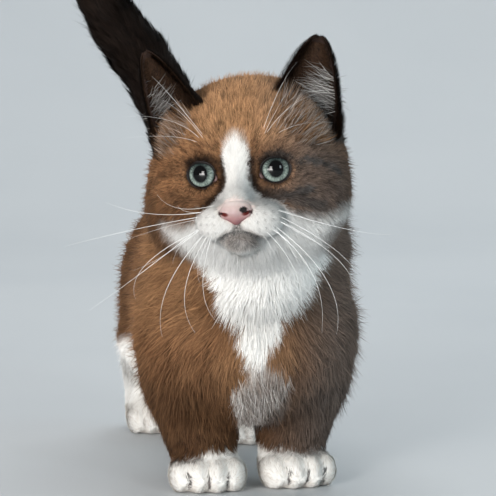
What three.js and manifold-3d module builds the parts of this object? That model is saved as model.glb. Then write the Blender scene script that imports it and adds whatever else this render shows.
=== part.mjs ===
// A munchkin kitten of about ten weeks, standing on its four short legs with its tail up and its
// face turned a little to its right. Life size, in millimetres, +Z up. The cat faces -Y, its left
// side is +X, and every size is taken over the coat, out to the tips of the fur.
// The whole animal is one smooth field, meshed piece by piece and parted with thin cuts.
import * as THREE from "three";
import { SimplifyModifier } from "three/addons/modifiers/SimplifyModifier.js";
import { mergeVertices } from "three/addons/utils/BufferGeometryUtils.js";
import Module from "manifold-3d";

const wasm = await Module();
wasm.setup();

// Driving dimensions
const HEAD_HALF_WIDTH = 38.8; // over the cheek fur
const BODY_HALF_WIDTH = 44; // at the shoulders
const BACK_HEIGHT = 117;
const EYE_SPACING = 26; // between the middles of the eyes
const EYE_RADIUS = 8.6;
const EAR_HEIGHT = 34;
const FORELEG_SPACING = 36; // between the middles of the forepaws
const TAIL_RADIUS = 11.5;
const GAP = 0.3; // between pieces that touch

// Where the head sits and how it is turned: to its right, up a little, and tipped over its left ear
const HEAD = { at: [-6, -30, 132], yaw: -19, pitch: -4.5, roll: -4.7 };

// Fields. Each is a function of x, y and z that is below zero inside and about a distance outside.

const smoothMin = (a, b, k) => {
  const h = Math.max(k - Math.abs(a - b), 0) / k;
  return Math.min(a, b) - (h * h * k) / 4;
};

const ball =
  ([cx, cy, cz], [rx, ry, rz]) =>
  (x, y, z) => {
    const [px, py, pz] = [(x - cx) / rx, (y - cy) / ry, (z - cz) / rz];
    const near = Math.hypot(px, py, pz);
    const steep = Math.hypot(px / rx, py / ry, pz / rz);
    return steep > 0 ? (near * (near - 1)) / steep : -Math.min(rx, ry, rz);
  };

const limb = ([ax, ay, az], [bx, by, bz], ra, rb) => {
  const [dx, dy, dz] = [bx - ax, by - ay, bz - az];
  const span = dx * dx + dy * dy + dz * dz;
  return (x, y, z) => {
    const along = ((x - ax) * dx + (y - ay) * dy + (z - az) * dz) / span;
    const t = Math.min(Math.max(along, 0), 1);
    const off = Math.hypot(x - ax - t * dx, y - ay - t * dy, z - az - t * dz);
    return off - (ra + t * (rb - ra));
  };
};

// A limb through several points, each [x, y, z, radius]
const chain = (points, blend) =>
  grown(points.slice(1).map((b, i) => [limb(points[i], b, points[i][3], b[3]), blend]));

// Pieces [field, blend] joined one after the other, each with its own softness
const grown = (pieces) => (x, y, z) => {
  let sum = pieces[0][0](x, y, z);
  for (let i = 1; i < pieces.length; i++) sum = smoothMin(sum, pieces[i][0](x, y, z), pieces[i][1]);
  return sum;
};

const carved = (field, hollow, k) => (x, y, z) => -smoothMin(-field(x, y, z), hollow(x, y, z), k);

const mirrored = (field) => (x, y, z) => field(Math.abs(x), y, z);

const placed = (field, matrix) => {
  const m = matrix.clone().invert().elements;
  return (x, y, z) =>
    field(
      m[0] * x + m[4] * y + m[8] * z + m[12],
      m[1] * x + m[5] * y + m[9] * z + m[13],
      m[2] * x + m[6] * y + m[10] * z + m[14],
    );
};

const degrees = THREE.MathUtils.degToRad;

const frameAt = ([x, y, z], yaw = 0, pitch = 0, roll = 0) =>
  new THREE.Matrix4()
    .makeTranslation(x, y, z)
    .multiply(new THREE.Matrix4().makeRotationZ(degrees(yaw)))
    .multiply(new THREE.Matrix4().makeRotationX(degrees(pitch)))
    .multiply(new THREE.Matrix4().makeRotationY(degrees(roll)));

const headFrame = frameAt(HEAD.at, HEAD.yaw, HEAD.pitch, HEAD.roll);

// The head, in its own frame: x to its left, y backwards, z up, the origin between the ears' roots
// and the chin at the level of the eyes

const EYE = [EYE_SPACING / 2, -19.6, -0.8];
const EYE_TURN = 12; // how far each eye looks outwards, in degrees
const EYE_OUT = [Math.sin(degrees(EYE_TURN)), -Math.cos(degrees(EYE_TURN)), 0];
const LID_THICKNESS = 1.6; // with the short fur on it
const LID_ANGLE = 41; // from the middle of the opening to the corner of the lids, in degrees
const LID_DROOP = 5; // how far the upper lid comes down over the eye, in degrees

const along = (a, d, s) => a.map((v, i) => v + d[i] * s);

// The space between the lids: a flaring bore along a level axis, lower than it is wide
const lidBore = ([cx, cy, cz], [dx, dy], half) => (x, y, z) => {
  const axial = (x - cx) * dx + (y - cy) * dy;
  const across = (x - cx) * -dy + (y - cy) * dx;
  const bore = Math.hypot(across, (z - cz) * 1.1) - half - 0.3 * (axial - 6);
  return Math.max(bore, 2 - axial) * 0.9;
};

const skull = () => {
  const cranium = ball([0, 8, 6], [36.5, 34, 31]);
  const cheek = mirrored(ball([20, -4, -10.5], [HEAD_HALF_WIDTH - 20, 22, 18.5]));
  const brow = mirrored(ball([11, -14.5, 10.5], [12, 11, 9]));
  const bridge = limb([0, -18, 4], [0, -35.5, -11], 9.5, 5.6);
  const underEye = mirrored(ball([14, -20, -12], [11, 9, 8]));
  const whiskerPad = mirrored(ball([7, -31.8, -19.3], [10, 9.8, 7.8]));
  const upperLip = ball([0, -33, -20.5], [5, 7, 4.6]);
  const chin = ball([0, -29.2, -26.8], [7, 7.6, 4.8]);
  const throat = ball([0, -8, -19], [21, 22, 13]);
  const earHollow = mirrored(ball([25, -6, 33], [11, 11, 11])); // in front of each ear
  const full = grown([
    [cranium, 0],
    [cheek, 10],
    [throat, 8],
    [brow, 12],
    [bridge, 8],
    [underEye, 8],
    [whiskerPad, 3],
    [upperLip, 3],
    [chin, 2.5],
  ]);
  return carved(full, earHollow, 5);
};

const face = () => {
  const dish = mirrored(ball(along(EYE, EYE_OUT, 17.2), [11, 8, 10]));
  const lids = mirrored(ball(EYE, [1, 1, 1].map(() => EYE_RADIUS + LID_THICKNESS)));
  const opening = mirrored(lidBore(EYE, EYE_OUT, 7.2));
  const philtrum = limb([0, -40.2, -21], [0, -38.6, -23.6], 0.8, 0.8);
  const lipLine = mirrored(
    chain(
      [
        [0, -38.4, -23.7, 0.9],
        [3.8, -38.2, -24.9, 0.9],
        [6.4, -35.8, -26.3, 1.0],
        [8.2, -31.5, -27.2, 0.8],
        [12, -25, -27.4, 0.5],
      ],
      0.5,
    ),
  );
  const bare = grown([[carved(skull(), dish, 9), 0], [lids, 3]]);
  return carved(carved(carved(bare, opening, 1), philtrum, 1), lipLine, 1);
};

// The nose leather, in the head's frame
const nosePad = () => {
  const top = ball([0, -37.6, -14.9], [5.6, 5.2, 3.6]);
  const wing = mirrored(ball([3.9, -38.3, -16.6], [2.6, 3.7, 2.5]));
  const tip = limb([0, -40.6, -16.8], [0, -40.6, -20.2], 2.5, 1.2);
  const rim = mirrored(limb([3.2, -40, -17.6], [0.3, -40.6, -20.4], 1.7, 1.2));
  const nostril = mirrored(limb([2.7, -43.6, -17.9], [5.9, -40.2, -16.2], 1, 0.7));
  return carved(grown([[top, 0], [wing, 1.6], [tip, 2], [rim, 1.2]]), nostril, 0.6);
};

// The body

const TORSO = [
  [ball([0, 38, 72], [41, 52, 45]), 0], // ribs
  [ball([0, 92, 67], [36, 54, 43]), 14], // belly
  [ball([1.5, 134, 73], [31.5, 38, BACK_HEIGHT - 73]), 14], // rump
  [ball([-1, -6, 66], [34, 23, 36]), 12], // breast
  [mirrored(ball([BODY_HALF_WIDTH - 22, 10, 64], [22, 27, 31])), 12], // shoulders
  [ball([0, 0, 43], [16, 20, 15]), 8], // the fringe of fur between the forelegs
  [mirrored(ball([17, 0, 98], [23, 22, 20])), 12], // fur at the sides of the neck
  [ball([-4, -24, 99], [23, 20, 20]), 12], // fur of the throat
];

const NECK = chain(
  [
    [0, 28, 84, 34],
    [-3, -8, 114, 32.5],
  ],
  0,
);

const FORELEGS = [
  { side: "right", sign: -1, paw: [-FORELEG_SPACING / 2 - 0.2, -1, 0], yaw: -6 },
  { side: "left", sign: 1, paw: [FORELEG_SPACING / 2, 3, 0], yaw: 12 },
];

const HINDLEGS = [
  { side: "right", sign: -1, paw: [-17.5, 146, 0], yaw: -4 },
  { side: "left", sign: 1, paw: [20, 110, 0], yaw: 6 },
];

// A paw in its own frame, its sole at z = 0 and its four toes towards -y
const paw = (half, long, high) => {
  const toes = [-0.74, -0.26, 0.26, 0.74].map((share) => {
    const back = 3.2 * (Math.abs(share) > 0.5);
    return [ball([share * half, -0.52 * long + back, 0.43 * high], [0.36 * half, 0.56 * long, 0.48 * high]), 4];
  });
  return grown([[ball([0, 0.1 * long, 0.5 * high], [0.93 * half, long * 0.86, 0.56 * high]), 0], ...toes]);
};

const forelegOf = ({ sign, paw: [px, py] }) =>
  chain(
    [
      [sign * 25, 10, 60, 19],
      [sign * 24, 12, 42, 17.5],
      [px + sign * 1.5, py + 9, 25, 15],
      [px, py + 6, 12, 13],
    ],
    6,
  );

const hindlegOf = ({ sign, paw: [px, py] }) =>
  grown([
    [ball([sign * 17.5, py - 4, 61], [16, 28, 32]), 0],
    [
      chain(
        [
          [sign * 20.5, py - 14, 44, 15.5],
          [px, py + 16, 27, 12.5],
          [px, py + 8, 12, 11.5],
          [px, py, 9, 11],
        ],
        7,
      ),
      10,
    ],
  ]);

const TAIL = [
  [0, 158, 98, TAIL_RADIUS],
  [-1, 171, 112, TAIL_RADIUS],
  [-3, 177, 132, TAIL_RADIUS + 0.5],
  [-11, 176, 153, TAIL_RADIUS + 1],
  [-21, 174, 169, TAIL_RADIUS + 1],
  [-31, 172, 181, TAIL_RADIUS],
  [-38.5, 171, 196, TAIL_RADIUS - 1],
  [-42, 171, 213, TAIL_RADIUS - 1.5],
  [-42.5, 172, 229, TAIL_RADIUS - 3],
  [-42, 173, 237, TAIL_RADIUS - 6],
];

const FOREPAW = [14.6, 16, 15.5];
const HINDPAW = [12.6, 16.5, 13.5];

const animal = () => {
  const pieces = [...TORSO, [NECK, 16]];
  for (const leg of FORELEGS) {
    pieces.push([forelegOf(leg), 9]);
    pieces.push([placed(paw(...FOREPAW), frameAt(leg.paw, leg.yaw)), 4]);
  }
  for (const leg of HINDLEGS) {
    pieces.push([hindlegOf(leg), 9]);
    pieces.push([placed(paw(...HINDPAW), frameAt(leg.paw, leg.yaw)), 5]);
  }
  pieces.push([chain(TAIL, 6), 12]);
  pieces.push([placed(face(), headFrame), 9]);
  return grown(pieces);
};

const whole = animal();

// Meshing. A net of cells is laid over the field and each cell that the surface crosses gets a point.

const gradient = (field, [x, y, z]) => {
  const h = 0.05;
  const g = [
    field(x + h, y, z) - field(x - h, y, z),
    field(x, y + h, z) - field(x, y - h, z),
    field(x, y, z + h) - field(x, y, z - h),
  ].map((v) => v / (2 * h));
  const length = Math.hypot(...g) || 1;
  return { unit: g.map((v) => v / length), length };
};

const CORNERS = [0, 1, 2, 3, 4, 5, 6, 7].map((n) => [n & 1, (n >> 1) & 1, (n >> 2) & 1]);
const EDGES = CORNERS.flatMap((c, n) => [1, 2, 4].filter((b) => !(n & b)).map((b) => [n, n | b]));

// Corners where two sheets would share one point are taken into the solid, so that it stays closed
function settle(values, [nx, ny, nz]) {
  const step = [1, nx, nx * ny];
  const fill = (corners) => {
    const out = corners.filter((c) => values[c] >= 0).sort((a, b) => values[a] - values[b]);
    values[out[0]] = -1e-3;
  };
  for (let changed = true; changed; ) {
    changed = false;
    for (let k = 0; k < nz - 1; k++)
      for (let j = 0; j < ny - 1; j++)
        for (let i = 0; i < nx - 1; i++) {
          const o = i + j * step[1] + k * step[2];
          for (const [a, b] of [[0, 1], [1, 2], [0, 2]]) {
            const four = [o, o + step[a], o + step[a] + step[b], o + step[b]];
            const inside = four.map((c) => values[c] < 0);
            if (inside[0] === inside[2] && inside[1] === inside[3] && inside[0] !== inside[1]) {
              fill(four);
              changed = true;
            }
          }
          const eight = CORNERS.map(([x, y, z]) => o + x + y * step[1] + z * step[2]);
          const inside = eight.map((c) => values[c] < 0);
          const count = inside.filter(Boolean).length;
          for (let n = 0; n < 4; n++) {
            const pair = inside[n] && inside[7 - n] && count === 2;
            const holes = !inside[n] && !inside[7 - n] && count === 6;
            if (pair || holes) {
              fill(eight);
              changed = true;
            }
          }
        }
  }
}

// The closed surface of a field over a box of cells. The warp takes a point of the net to the model.
function net(field, low, high, cell, warp = (p) => p) {
  const size = low.map((v, i) => Math.ceil((high[i] - v) / cell) + 1);
  const [nx, ny, nz] = size;
  const pointOf = (i, j, k) => [low[0] + i * cell, low[1] + j * cell, low[2] + k * cell];
  const values = new Float64Array(nx * ny * nz);
  for (let k = 0, n = 0; k < nz; k++)
    for (let j = 0; j < ny; j++)
      for (let i = 0; i < nx; i++, n++) {
        const edge = i * j * k === 0 || i === nx - 1 || j === ny - 1 || k === nz - 1;
        const value = field(...warp(pointOf(i, j, k)));
        values[n] = edge ? Math.max(value, 1e-3) : value;
      }
  settle(values, size);

  const points = [];
  const index = new Map();
  const offset = ([x, y, z]) => x + y * nx + z * nx * ny;
  for (let k = 0; k < nz - 1; k++)
    for (let j = 0; j < ny - 1; j++)
      for (let i = 0; i < nx - 1; i++) {
        const o = offset([i, j, k]);
        const crossed = [];
        for (const [a, b] of EDGES) {
          const [va, vb] = [values[o + offset(CORNERS[a])], values[o + offset(CORNERS[b])]];
          if (va < 0 === vb < 0) continue;
          const t = va / (va - vb);
          crossed.push(CORNERS[a].map((v, n) => v + t * (CORNERS[b][n] - v)));
        }
        if (!crossed.length) continue;
        const mean = [0, 1, 2].map((n) => crossed.reduce((s, c) => s + c[n], 0) / crossed.length);
        const p = settled(field, warp(pointOf(i + mean[0], j + mean[1], k + mean[2])), cell);
        index.set(o, points.push(p) - 1);
      }

  const triangles = [];
  const unit = [offset([1, 0, 0]), offset([0, 1, 0]), offset([0, 0, 1])];
  for (let k = 0; k < nz - 1; k++)
    for (let j = 0; j < ny - 1; j++)
      for (let i = 0; i < nx - 1; i++) {
        const o = offset([i, j, k]);
        for (let a = 0; a < 3; a++) {
          if (values[o] < 0 === values[o + unit[a]] < 0) continue;
          const [b, c] = [unit[(a + 1) % 3], unit[(a + 2) % 3]];
          const loop = [o - b - c, o - c, o, o - b].map((n) => index.get(n));
          if (values[o] >= 0) loop.reverse();
          const [p, q, r, s] = loop;
          const gap = (m, n) => Math.hypot(...points[m].map((v, w) => v - points[n][w]));
          if (gap(p, r) < gap(q, s)) triangles.push(p, q, r, p, r, s);
          else triangles.push(p, q, s, q, r, s);
        }
      }
  return { points, triangles };
}

// Two short steps down the slope put a point on the surface
function settled(field, point, reach) {
  let p = point;
  for (let n = 0; n < 2; n++) {
    const value = field(...p);
    if (Math.abs(value) > reach) return point;
    const { unit, length } = gradient(field, p);
    const step = value / Math.max(length, 0.5);
    p = p.map((v, i) => v - unit[i] * step);
  }
  return p;
}

// The same surface with about as many triangles as asked for, fewest where it is flattest
const modifier = new SimplifyModifier();
async function thinned({ points, triangles }, count) {
  const geometry = new THREE.BufferGeometry();
  geometry.setAttribute("position", new THREE.Float32BufferAttribute(points.flat(), 3));
  geometry.setIndex(triangles);
  const surplus = Math.max(points.length - count / 2, 0);
  const fewer = await modifier.modify(geometry, surplus);
  const position = fewer.getAttribute("position");
  const corner = new THREE.Vector3();
  const kept = [];
  for (let i = 0; i < position.count; i++) {
    kept.push(corner.fromBufferAttribute(position, i).toArray());
  }
  return { points: kept, triangles: Array.from(fewer.getIndex().array) };
}

const pushed = (mesh, field, distance) => ({
  triangles: mesh.triangles,
  points: mesh.points.map((p) => along(p, gradient(field, p).unit, distance)),
});

const toSolid = ({ points, triangles }) =>
  new wasm.Manifold(
    new wasm.Mesh({
      numProp: 3,
      vertProperties: new Float32Array(points.flat()),
      triVerts: new Uint32Array(triangles),
    }),
  );

// A closed three.js geometry as a solid
function solidOf(geometry, matrix = new THREE.Matrix4()) {
  const bare = geometry.clone().applyMatrix4(matrix);
  bare.deleteAttribute("normal");
  bare.deleteAttribute("uv");
  const merged = mergeVertices(bare, 1e-4);
  return new wasm.Manifold(
    new wasm.Mesh({
      numProp: 3,
      vertProperties: merged.attributes.position.array,
      triVerts: new Uint32Array(merged.index.array),
    }),
  );
}

// Everything on the far side of a plane, as a large block. The plane faces along the normal.
const FAR = 600;
function behind(point, normal, back = GAP / 2) {
  const n = new THREE.Vector3(...normal).normalize();
  const turn = new THREE.Quaternion().setFromUnitVectors(new THREE.Vector3(0, 0, 1), n);
  const middle = new THREE.Vector3(...point).addScaledVector(n, -FAR / 2 - back);
  const matrix = new THREE.Matrix4().compose(middle, turn, new THREE.Vector3(1, 1, 1));
  return solidOf(new THREE.BoxGeometry(FAR, FAR, FAR), matrix);
}
const ahead = (point, normal) => behind(point, normal.map((v) => -v));

// The largest closed piece, which drops any scrap that a cut leaves
const main = (solid) => solid.decompose().sort((a, b) => b.volume() - a.volume())[0];

// Where the animal is parted

const HEAD_CUT = [[0, -16, 122], [0, -0.62, 0.785]];
const NECK_CUT = [[0, 12, 120], [0, -0.766, 0.643]];
const TAIL_CUT = [[0, 166, 104], [0, 0.62, 0.785]];
const MID_TAIL_CUT = [[-18, 174, 166], [-0.5, -0.1, 0.86]];
const WRIST = 17;
const HOCK = 16;
const BELLY_CUT = [[0, 0, 22], [0, 0, 1]];
const FLOOR = [[0, 0, 0], [0, 0, -1]];

// Regions that take a leg out of the trunk, as round sleeves about the limb
const foreSleeve = ({ sign, paw: [px, py] }) =>
  chain(
    [
      [px + sign * 3, py + 6, 6, 19],
      [sign * 26, 8, 38, 21],
      [sign * 36, 14, 62, 25],
    ],
    10,
  );
const hindSleeve = ({ sign, paw: [px, py] }) =>
  chain(
    [
      [px + sign * 4, py + 6, 8, 20],
      [px + sign * 2, py + 20, 27, 19],
      [sign * 26, py + 2, 34, 24],
      [sign * 36, py - 2, 62, 27],
    ],
    10,
  );

const boxAbout = ([x, y, z], [rx, ry, rz]) => [[x - rx, y - ry, z - rz], [x + rx, y + ry, z + rz]];

async function legParts(leg, sleeve, half, budget, cut) {
  const [px, py] = leg.paw;
  const [low, high] = boxAbout([px + leg.sign * 12, py + 6, 50], [44, 54, 58]);
  const around = await thinned(net(sleeve, low, high, 5), 260);
  const region = toSolid(around);
  const wide = boxAbout([px + leg.sign * 8, py + 6, 46], [38, 48, 52]);
  const flesh = toSolid(await thinned(net(whole, ...wide, 4.2), budget.leg));
  const low2 = boxAbout([px, py, 12], [half + 8, 34, 18]);
  const foot = toSolid(await thinned(net(whole, ...low2, 2.2), budget.paw));
  const side = leg.sign > 0 ? behind([0, 0, 0], [-1, 0, 0], 0.6) : behind([0, 0, 0], [1, 0, 0], 0.6);
  return {
    upper: main(flesh.intersect(region).intersect(ahead(...cut)).intersect(behind(...NECK_CUT))),
    foot: main(foot.intersect(behind(...cut)).intersect(behind(...FLOOR, 0)).intersect(side)),
    grownRegion: toSolid(pushed(around, sleeve, GAP)),
  };
}

// About how many triangles each net is left with
const BUDGET = {
  head: 5000,
  nose: 360,
  neck: 700,
  torso: 2400,
  tail: 700,
  fore: { leg: 1100, paw: 800 },
  hind: { leg: 1100, paw: 640 },
};

// Pieces of the solid model, by name
const solids = new Map();

const legCuts = [];
for (const leg of FORELEGS) {
  const cut = [[0, 0, WRIST], [0, 0, 1]];
  const parts = await legParts(leg, foreSleeve(leg), FOREPAW[0], BUDGET.fore, cut);
  solids.set("foreleg_" + leg.side, [parts.upper, "coat_brown"]);
  solids.set("forepaw_" + leg.side, [parts.foot, "coat_white"]);
  legCuts.push(parts.grownRegion);
}
for (const leg of HINDLEGS) {
  const cut = [[0, 0, HOCK], [0, 0, 1]];
  const parts = await legParts(leg, hindSleeve(leg), HINDPAW[0], BUDGET.hind, cut);
  solids.set("hindleg_" + leg.side, [parts.upper, "coat_white"]);
  solids.set("hindpaw_" + leg.side, [parts.foot, "coat_white"]);
  legCuts.push(parts.grownRegion);
}

const trunk = toSolid(await thinned(net(whole, [-56, -44, 12], [56, 196, 150], 4.5), BUDGET.torso));
let torso = trunk.intersect(behind(...NECK_CUT)).intersect(behind(...TAIL_CUT));
torso = torso.intersect(ahead(...BELLY_CUT));
for (const region of legCuts) torso = torso.subtract(region);
solids.set("torso", [main(torso), "coat_brown"]);

const throat = toSolid(await thinned(net(whole, [-60, -62, 50], [50, 60, 170], 4.5), BUDGET.neck));
solids.set("neck", [main(throat.intersect(ahead(...NECK_CUT)).intersect(behind(...HEAD_CUT))), "coat_brown"]);

const brush = toSolid(await thinned(net(whole, [-72, 140, 84], [26, 204, 250], 3.2), BUDGET.tail));
solids.set("tail_base", [main(brush.intersect(ahead(...TAIL_CUT)).intersect(behind(...MID_TAIL_CUT))), "coat_dark"]);
solids.set("tail_tip", [main(brush.intersect(ahead(...MID_TAIL_CUT))), "coat_dark"]);

// The head's net is fine at the mouth and eyes and coarser behind them
const FACE_MIDDLE = [0, -33, -12];
const FINEST = 1.15;
const COARSER = 0.014;
const headWarp = (q) => {
  const far = FINEST + COARSER * Math.hypot(...q);
  const local = new THREE.Vector3(...FACE_MIDDLE.map((v, i) => v + q[i] * far));
  return local.applyMatrix4(headFrame).toArray();
};
const headNet = await thinned(net(whole, [-36, -15, -27], [36, 44, 35], 1, headWarp), BUDGET.head);
let head = toSolid(headNet).intersect(ahead(...HEAD_CUT));

// The bare rim of the lids: a band that lies on the ball of the eye around the opening
const LID_STEPS = 28;
const LID_WIDTH = 17; // in degrees of the ball
function lidRing(sign, more) {
  const [inner, outer] = [EYE_RADIUS + GAP - more, EYE_RADIUS + LID_THICKNESS + more];
  const turn = degrees(EYE_TURN) * sign;
  const points = [];
  for (let n = 0; n < LID_STEPS; n++) {
    const angle = (2 * Math.PI * n) / LID_STEPS;
    const upright = Math.abs(Math.sin(angle + 0.25 * sign));
    const droop = LID_DROOP * Math.max(Math.sin(angle), 0);
    const open = degrees(LID_ANGLE - 5 * upright - droop) - more / inner;
    const far = open + degrees(LID_WIDTH) + (2 * more) / inner;
    const middle = (open + far) / 2;
    const section = [
      [open, inner],
      [middle, inner],
      [far, inner],
      [far, outer - 0.9],
      [middle, outer - 0.1],
      [open + 0.03, outer - 0.45],
    ];
    for (const [spread, radius] of section) {
      const side = Math.sin(spread) * Math.cos(angle);
      const forward = Math.cos(spread);
      points.push(inHead([
        sign * EYE[0] + radius * (side * Math.cos(turn) + forward * Math.sin(turn)),
        EYE[1] + radius * (side * Math.sin(turn) - forward * Math.cos(turn)),
        EYE[2] + radius * Math.sin(spread) * Math.sin(angle),
      ]));
    }
  }
  const triangles = [];
  for (let n = 0; n < LID_STEPS; n++)
    for (let c = 0; c < 6; c++) {
      const [a, b] = [6 * n + c, 6 * n + ((c + 1) % 6)];
      const [d, e] = [a, b].map((v) => (v + 6) % (6 * LID_STEPS));
      triangles.push(b, a, e, e, a, d);
    }
  return toSolid({ points, triangles });
}

// Eyes and nose
const inHead = (p) => new THREE.Vector3(...p).applyMatrix4(headFrame).toArray();
const eyeball = (sign, radius) => {
  const at = inHead([sign * EYE[0], EYE[1], EYE[2]]);
  return solidOf(new THREE.SphereGeometry(radius, 18, 12), frameAt(at));
};
for (const [side, sign] of [["right", -1], ["left", 1]]) {
  head = head.subtract(eyeball(sign, EYE_RADIUS + GAP)).subtract(lidRing(sign, GAP));
  solids.set("eyelid_" + side, [lidRing(sign, 0), "lid"]);
  solids.set("eye_" + side, [eyeball(sign, EYE_RADIUS), "eye"]);
}
const noseField = placed(nosePad(), headFrame);
const noseBox = boxAbout(inHead([0, -38, -16.5]), [9, 9, 8]);
const noseNet = await thinned(net(noseField, ...noseBox, 0.8), BUDGET.nose);
head = head.subtract(toSolid(pushed(noseNet, noseField, GAP)));
solids.set("nose", [main(toSolid(noseNet)), "nose"]);

// Ears: a cupped shell on a bent frame, open to the front, its rims meeting in a rounded tip
const EARS = [
  { side: "left", root: [22.9, -6, 17], tip: [31.9, -3, 50.5], open: [0.35, -1, 0.1] },
  { side: "right", root: [-24.8, -6, 17], tip: [-38.2, -3, 49.5], open: [-0.75, -1, 0.1] },
];
const EAR_HALF_WIDTH = 15.6;
const EAR_CUP = 13; // depth of the cup at the root
const EAR_WALL = 2.4; // with the fur on both faces
const EAR_ROWS = 9;
const EAR_COLUMNS = 12;
const EAR_WRAP = 1.55; // half the angle that the cup wraps, in radians

function earShell({ root, tip, open }) {
  const base = new THREE.Vector3(...root);
  const up = new THREE.Vector3(...tip).sub(base);
  const reach = up.length() + 6;
  up.normalize();
  const out = new THREE.Vector3(...open);
  out.addScaledVector(up, -out.dot(up)).normalize();
  const across = new THREE.Vector3().crossVectors(up, out);
  base.addScaledVector(up, -6);
  const place = (v, angle, wall) => {
    const toRim = THREE.MathUtils.smoothstep(Math.abs(angle) / EAR_WRAP, 0.7, 1);
    const inset = wall * (1 - 0.55 * toRim);
    const foot = 0.84 + 0.16 * Math.min(v / 0.35, 1);
    const wide = (EAR_HALF_WIDTH - inset) * Math.pow(1 - v, 0.58) * foot + 1 - inset * 0.3;
    const deep = (EAR_CUP - inset) * Math.pow(1 - v, 0.8) + 1.2 * (1 - v) + 0.4;
    const height = v * (reach - inset * v);
    const side = (Math.sin(angle) / Math.sin(EAR_WRAP)) * wide;
    const back = deep * Math.cos(angle);
    return base.clone().addScaledVector(up, height).addScaledVector(across, side)
      .addScaledVector(out, -back).toArray();
  };
  const points = [];
  const rings = EAR_ROWS + 1;
  for (let r = 0; r < rings; r++)
    for (const inset of [0, EAR_WALL])
      for (let c = 0; c <= EAR_COLUMNS; c++) {
        const column = inset ? EAR_COLUMNS - c : c;
        const angle = -EAR_WRAP + (2 * EAR_WRAP * column) / EAR_COLUMNS;
        points.push(place(r / EAR_ROWS, angle, inset));
      }
  return loft(points, 2 * (EAR_COLUMNS + 1), rings);
}

// A closed body from rings of points, with flat ends fanned from their middles
function loft(points, around, rings) {
  const triangles = [];
  for (let r = 0; r < rings - 1; r++)
    for (let c = 0; c < around; c++) {
      const [a, b] = [r * around + c, r * around + ((c + 1) % around)];
      triangles.push(b, a, b + around, b + around, a, a + around);
    }
  for (const [row, flip] of [[0, false], [rings - 1, true]]) {
    const half = around / 2;
    for (let c = 0; c < half - 1; c++) {
      const [a, b] = [row * around + c, row * around + c + 1];
      const [d, e] = [row * around + around - 1 - c, row * around + around - 2 - c];
      const faces = [a, b, e, a, e, d];
      triangles.push(...(flip ? faces.reverse() : faces));
    }
  }
  return { points, triangles };
}

const skin = toSolid(pushed(headNet, whole, GAP));
for (const ear of EARS) {
  const shell = earShell(ear);
  shell.points = shell.points.map((p) => inHead(p));
  let solid = toSolid(shell);
  if (solid.volume() < 0) throw new Error("ear inside out");
  solids.set("ear_" + ear.side, [main(solid.subtract(skin)), "coat_dark"]);
}

// Whiskers, rooted in the pads of the muzzle, each a bent three-sided spine
// Each whisker's root, middle and tip, in the head's frame
const WHISKERS = [
  [[-11, -35, -15], [-33, -29, -15], [-54, -20, -9]],
  [[-12, -34.5, -17], [-39, -32, -20], [-70, -26, -25]],
  [[-12, -34.5, -19], [-37, -37, -36], [-60, -36, -50]],
  [[-11.5, -34.5, -21], [-36, -34, -33], [-43, -30, -47]],
  [[-11, -35, -22], [-28, -38, -42], [-32, -38, -62]],
  [[-10, -36, -22.5], [-21, -41, -43], [-18, -44, -61]],
  [[-9, -37, -22.5], [-14, -43, -43], [-8, -48, -58]],
  [[11.5, -35, -15], [38, -27, -25], [56, -16, -29]],
  [[12, -34.5, -17], [32, -31, -30], [43, -24, -43]],
  [[12, -34.5, -19], [34, -33, -34], [42, -28, -49]],
  [[11.5, -35, -21], [32, -38, -43], [35, -38, -65]],
  [[10, -36, -22], [27, -40, -40], [30, -42, -64]],
  [[8.5, -37, -22.5], [21, -42, -39], [23, -46, -58]],
];
const WHISKER_THICK = 0.7;
const WHISKER_STEPS = 5;

function whisker([rootAt, middleAt, tipAt]) {
  const [start, half, end] = [rootAt, middleAt, tipAt].map((p) => new THREE.Vector3(...p));
  const root = start.clone().addScaledVector(half.clone().sub(start).normalize(), -3);
  const bow = half.clone().addScaledVector(root, -0.5).addScaledVector(end, -0.5);
  const points = [];
  for (let r = 0; r <= WHISKER_STEPS; r++) {
    const t = r / WHISKER_STEPS;
    const middle = root.clone().lerp(end, t).addScaledVector(bow, 4 * t * (1 - t));
    const tangent = end.clone().sub(root).addScaledVector(bow, 4 * (1 - 2 * t)).normalize();
    const side = new THREE.Vector3(0, 1, 0).cross(tangent).normalize();
    const other = tangent.clone().cross(side);
    const thick = WHISKER_THICK * (1 - 0.75 * t);
    for (let n = 0; n < 3; n++) {
      const angle = (2 * Math.PI * n) / 3;
      const p = middle.clone().addScaledVector(side, thick * 0.5 * Math.cos(angle));
      points.push(inHead(p.addScaledVector(other, thick * 0.5 * Math.sin(angle)).toArray()));
    }
  }
  const triangles = [];
  for (let r = 0; r < WHISKER_STEPS; r++)
    for (let c = 0; c < 3; c++) {
      const [a, b] = [3 * r + c, 3 * r + ((c + 1) % 3)];
      triangles.push(a, b, b + 3, a, b + 3, a + 3);
    }
  const last = 3 * WHISKER_STEPS;
  triangles.push(2, 1, 0, last, last + 1, last + 2);
  return toSolid({ points, triangles });
}

for (const points of WHISKERS) head = head.add(whisker(points));
solids.set("head", [main(head), "coat_brown"]);

// The materials of the coat, eyes and nose
const FINISHES = {
  coat_brown: { color: 0x7a5238, roughness: 0.9, metalness: 0 },
  coat_white: { color: 0xe9e4de, roughness: 0.9, metalness: 0 },
  coat_dark: { color: 0x2a1b15, roughness: 0.85, metalness: 0 },
  eye: { color: 0x7fa09a, roughness: 0.1, metalness: 0 },
  lid: { color: 0x1c1512, roughness: 0.5, metalness: 0 },
  nose: { color: 0xd99a94, roughness: 0.5, metalness: 0 },
};
const material = Object.fromEntries(
  Object.entries(FINISHES).map(([name, finish]) => [name, new THREE.MeshStandardMaterial(finish)]),
);

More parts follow.
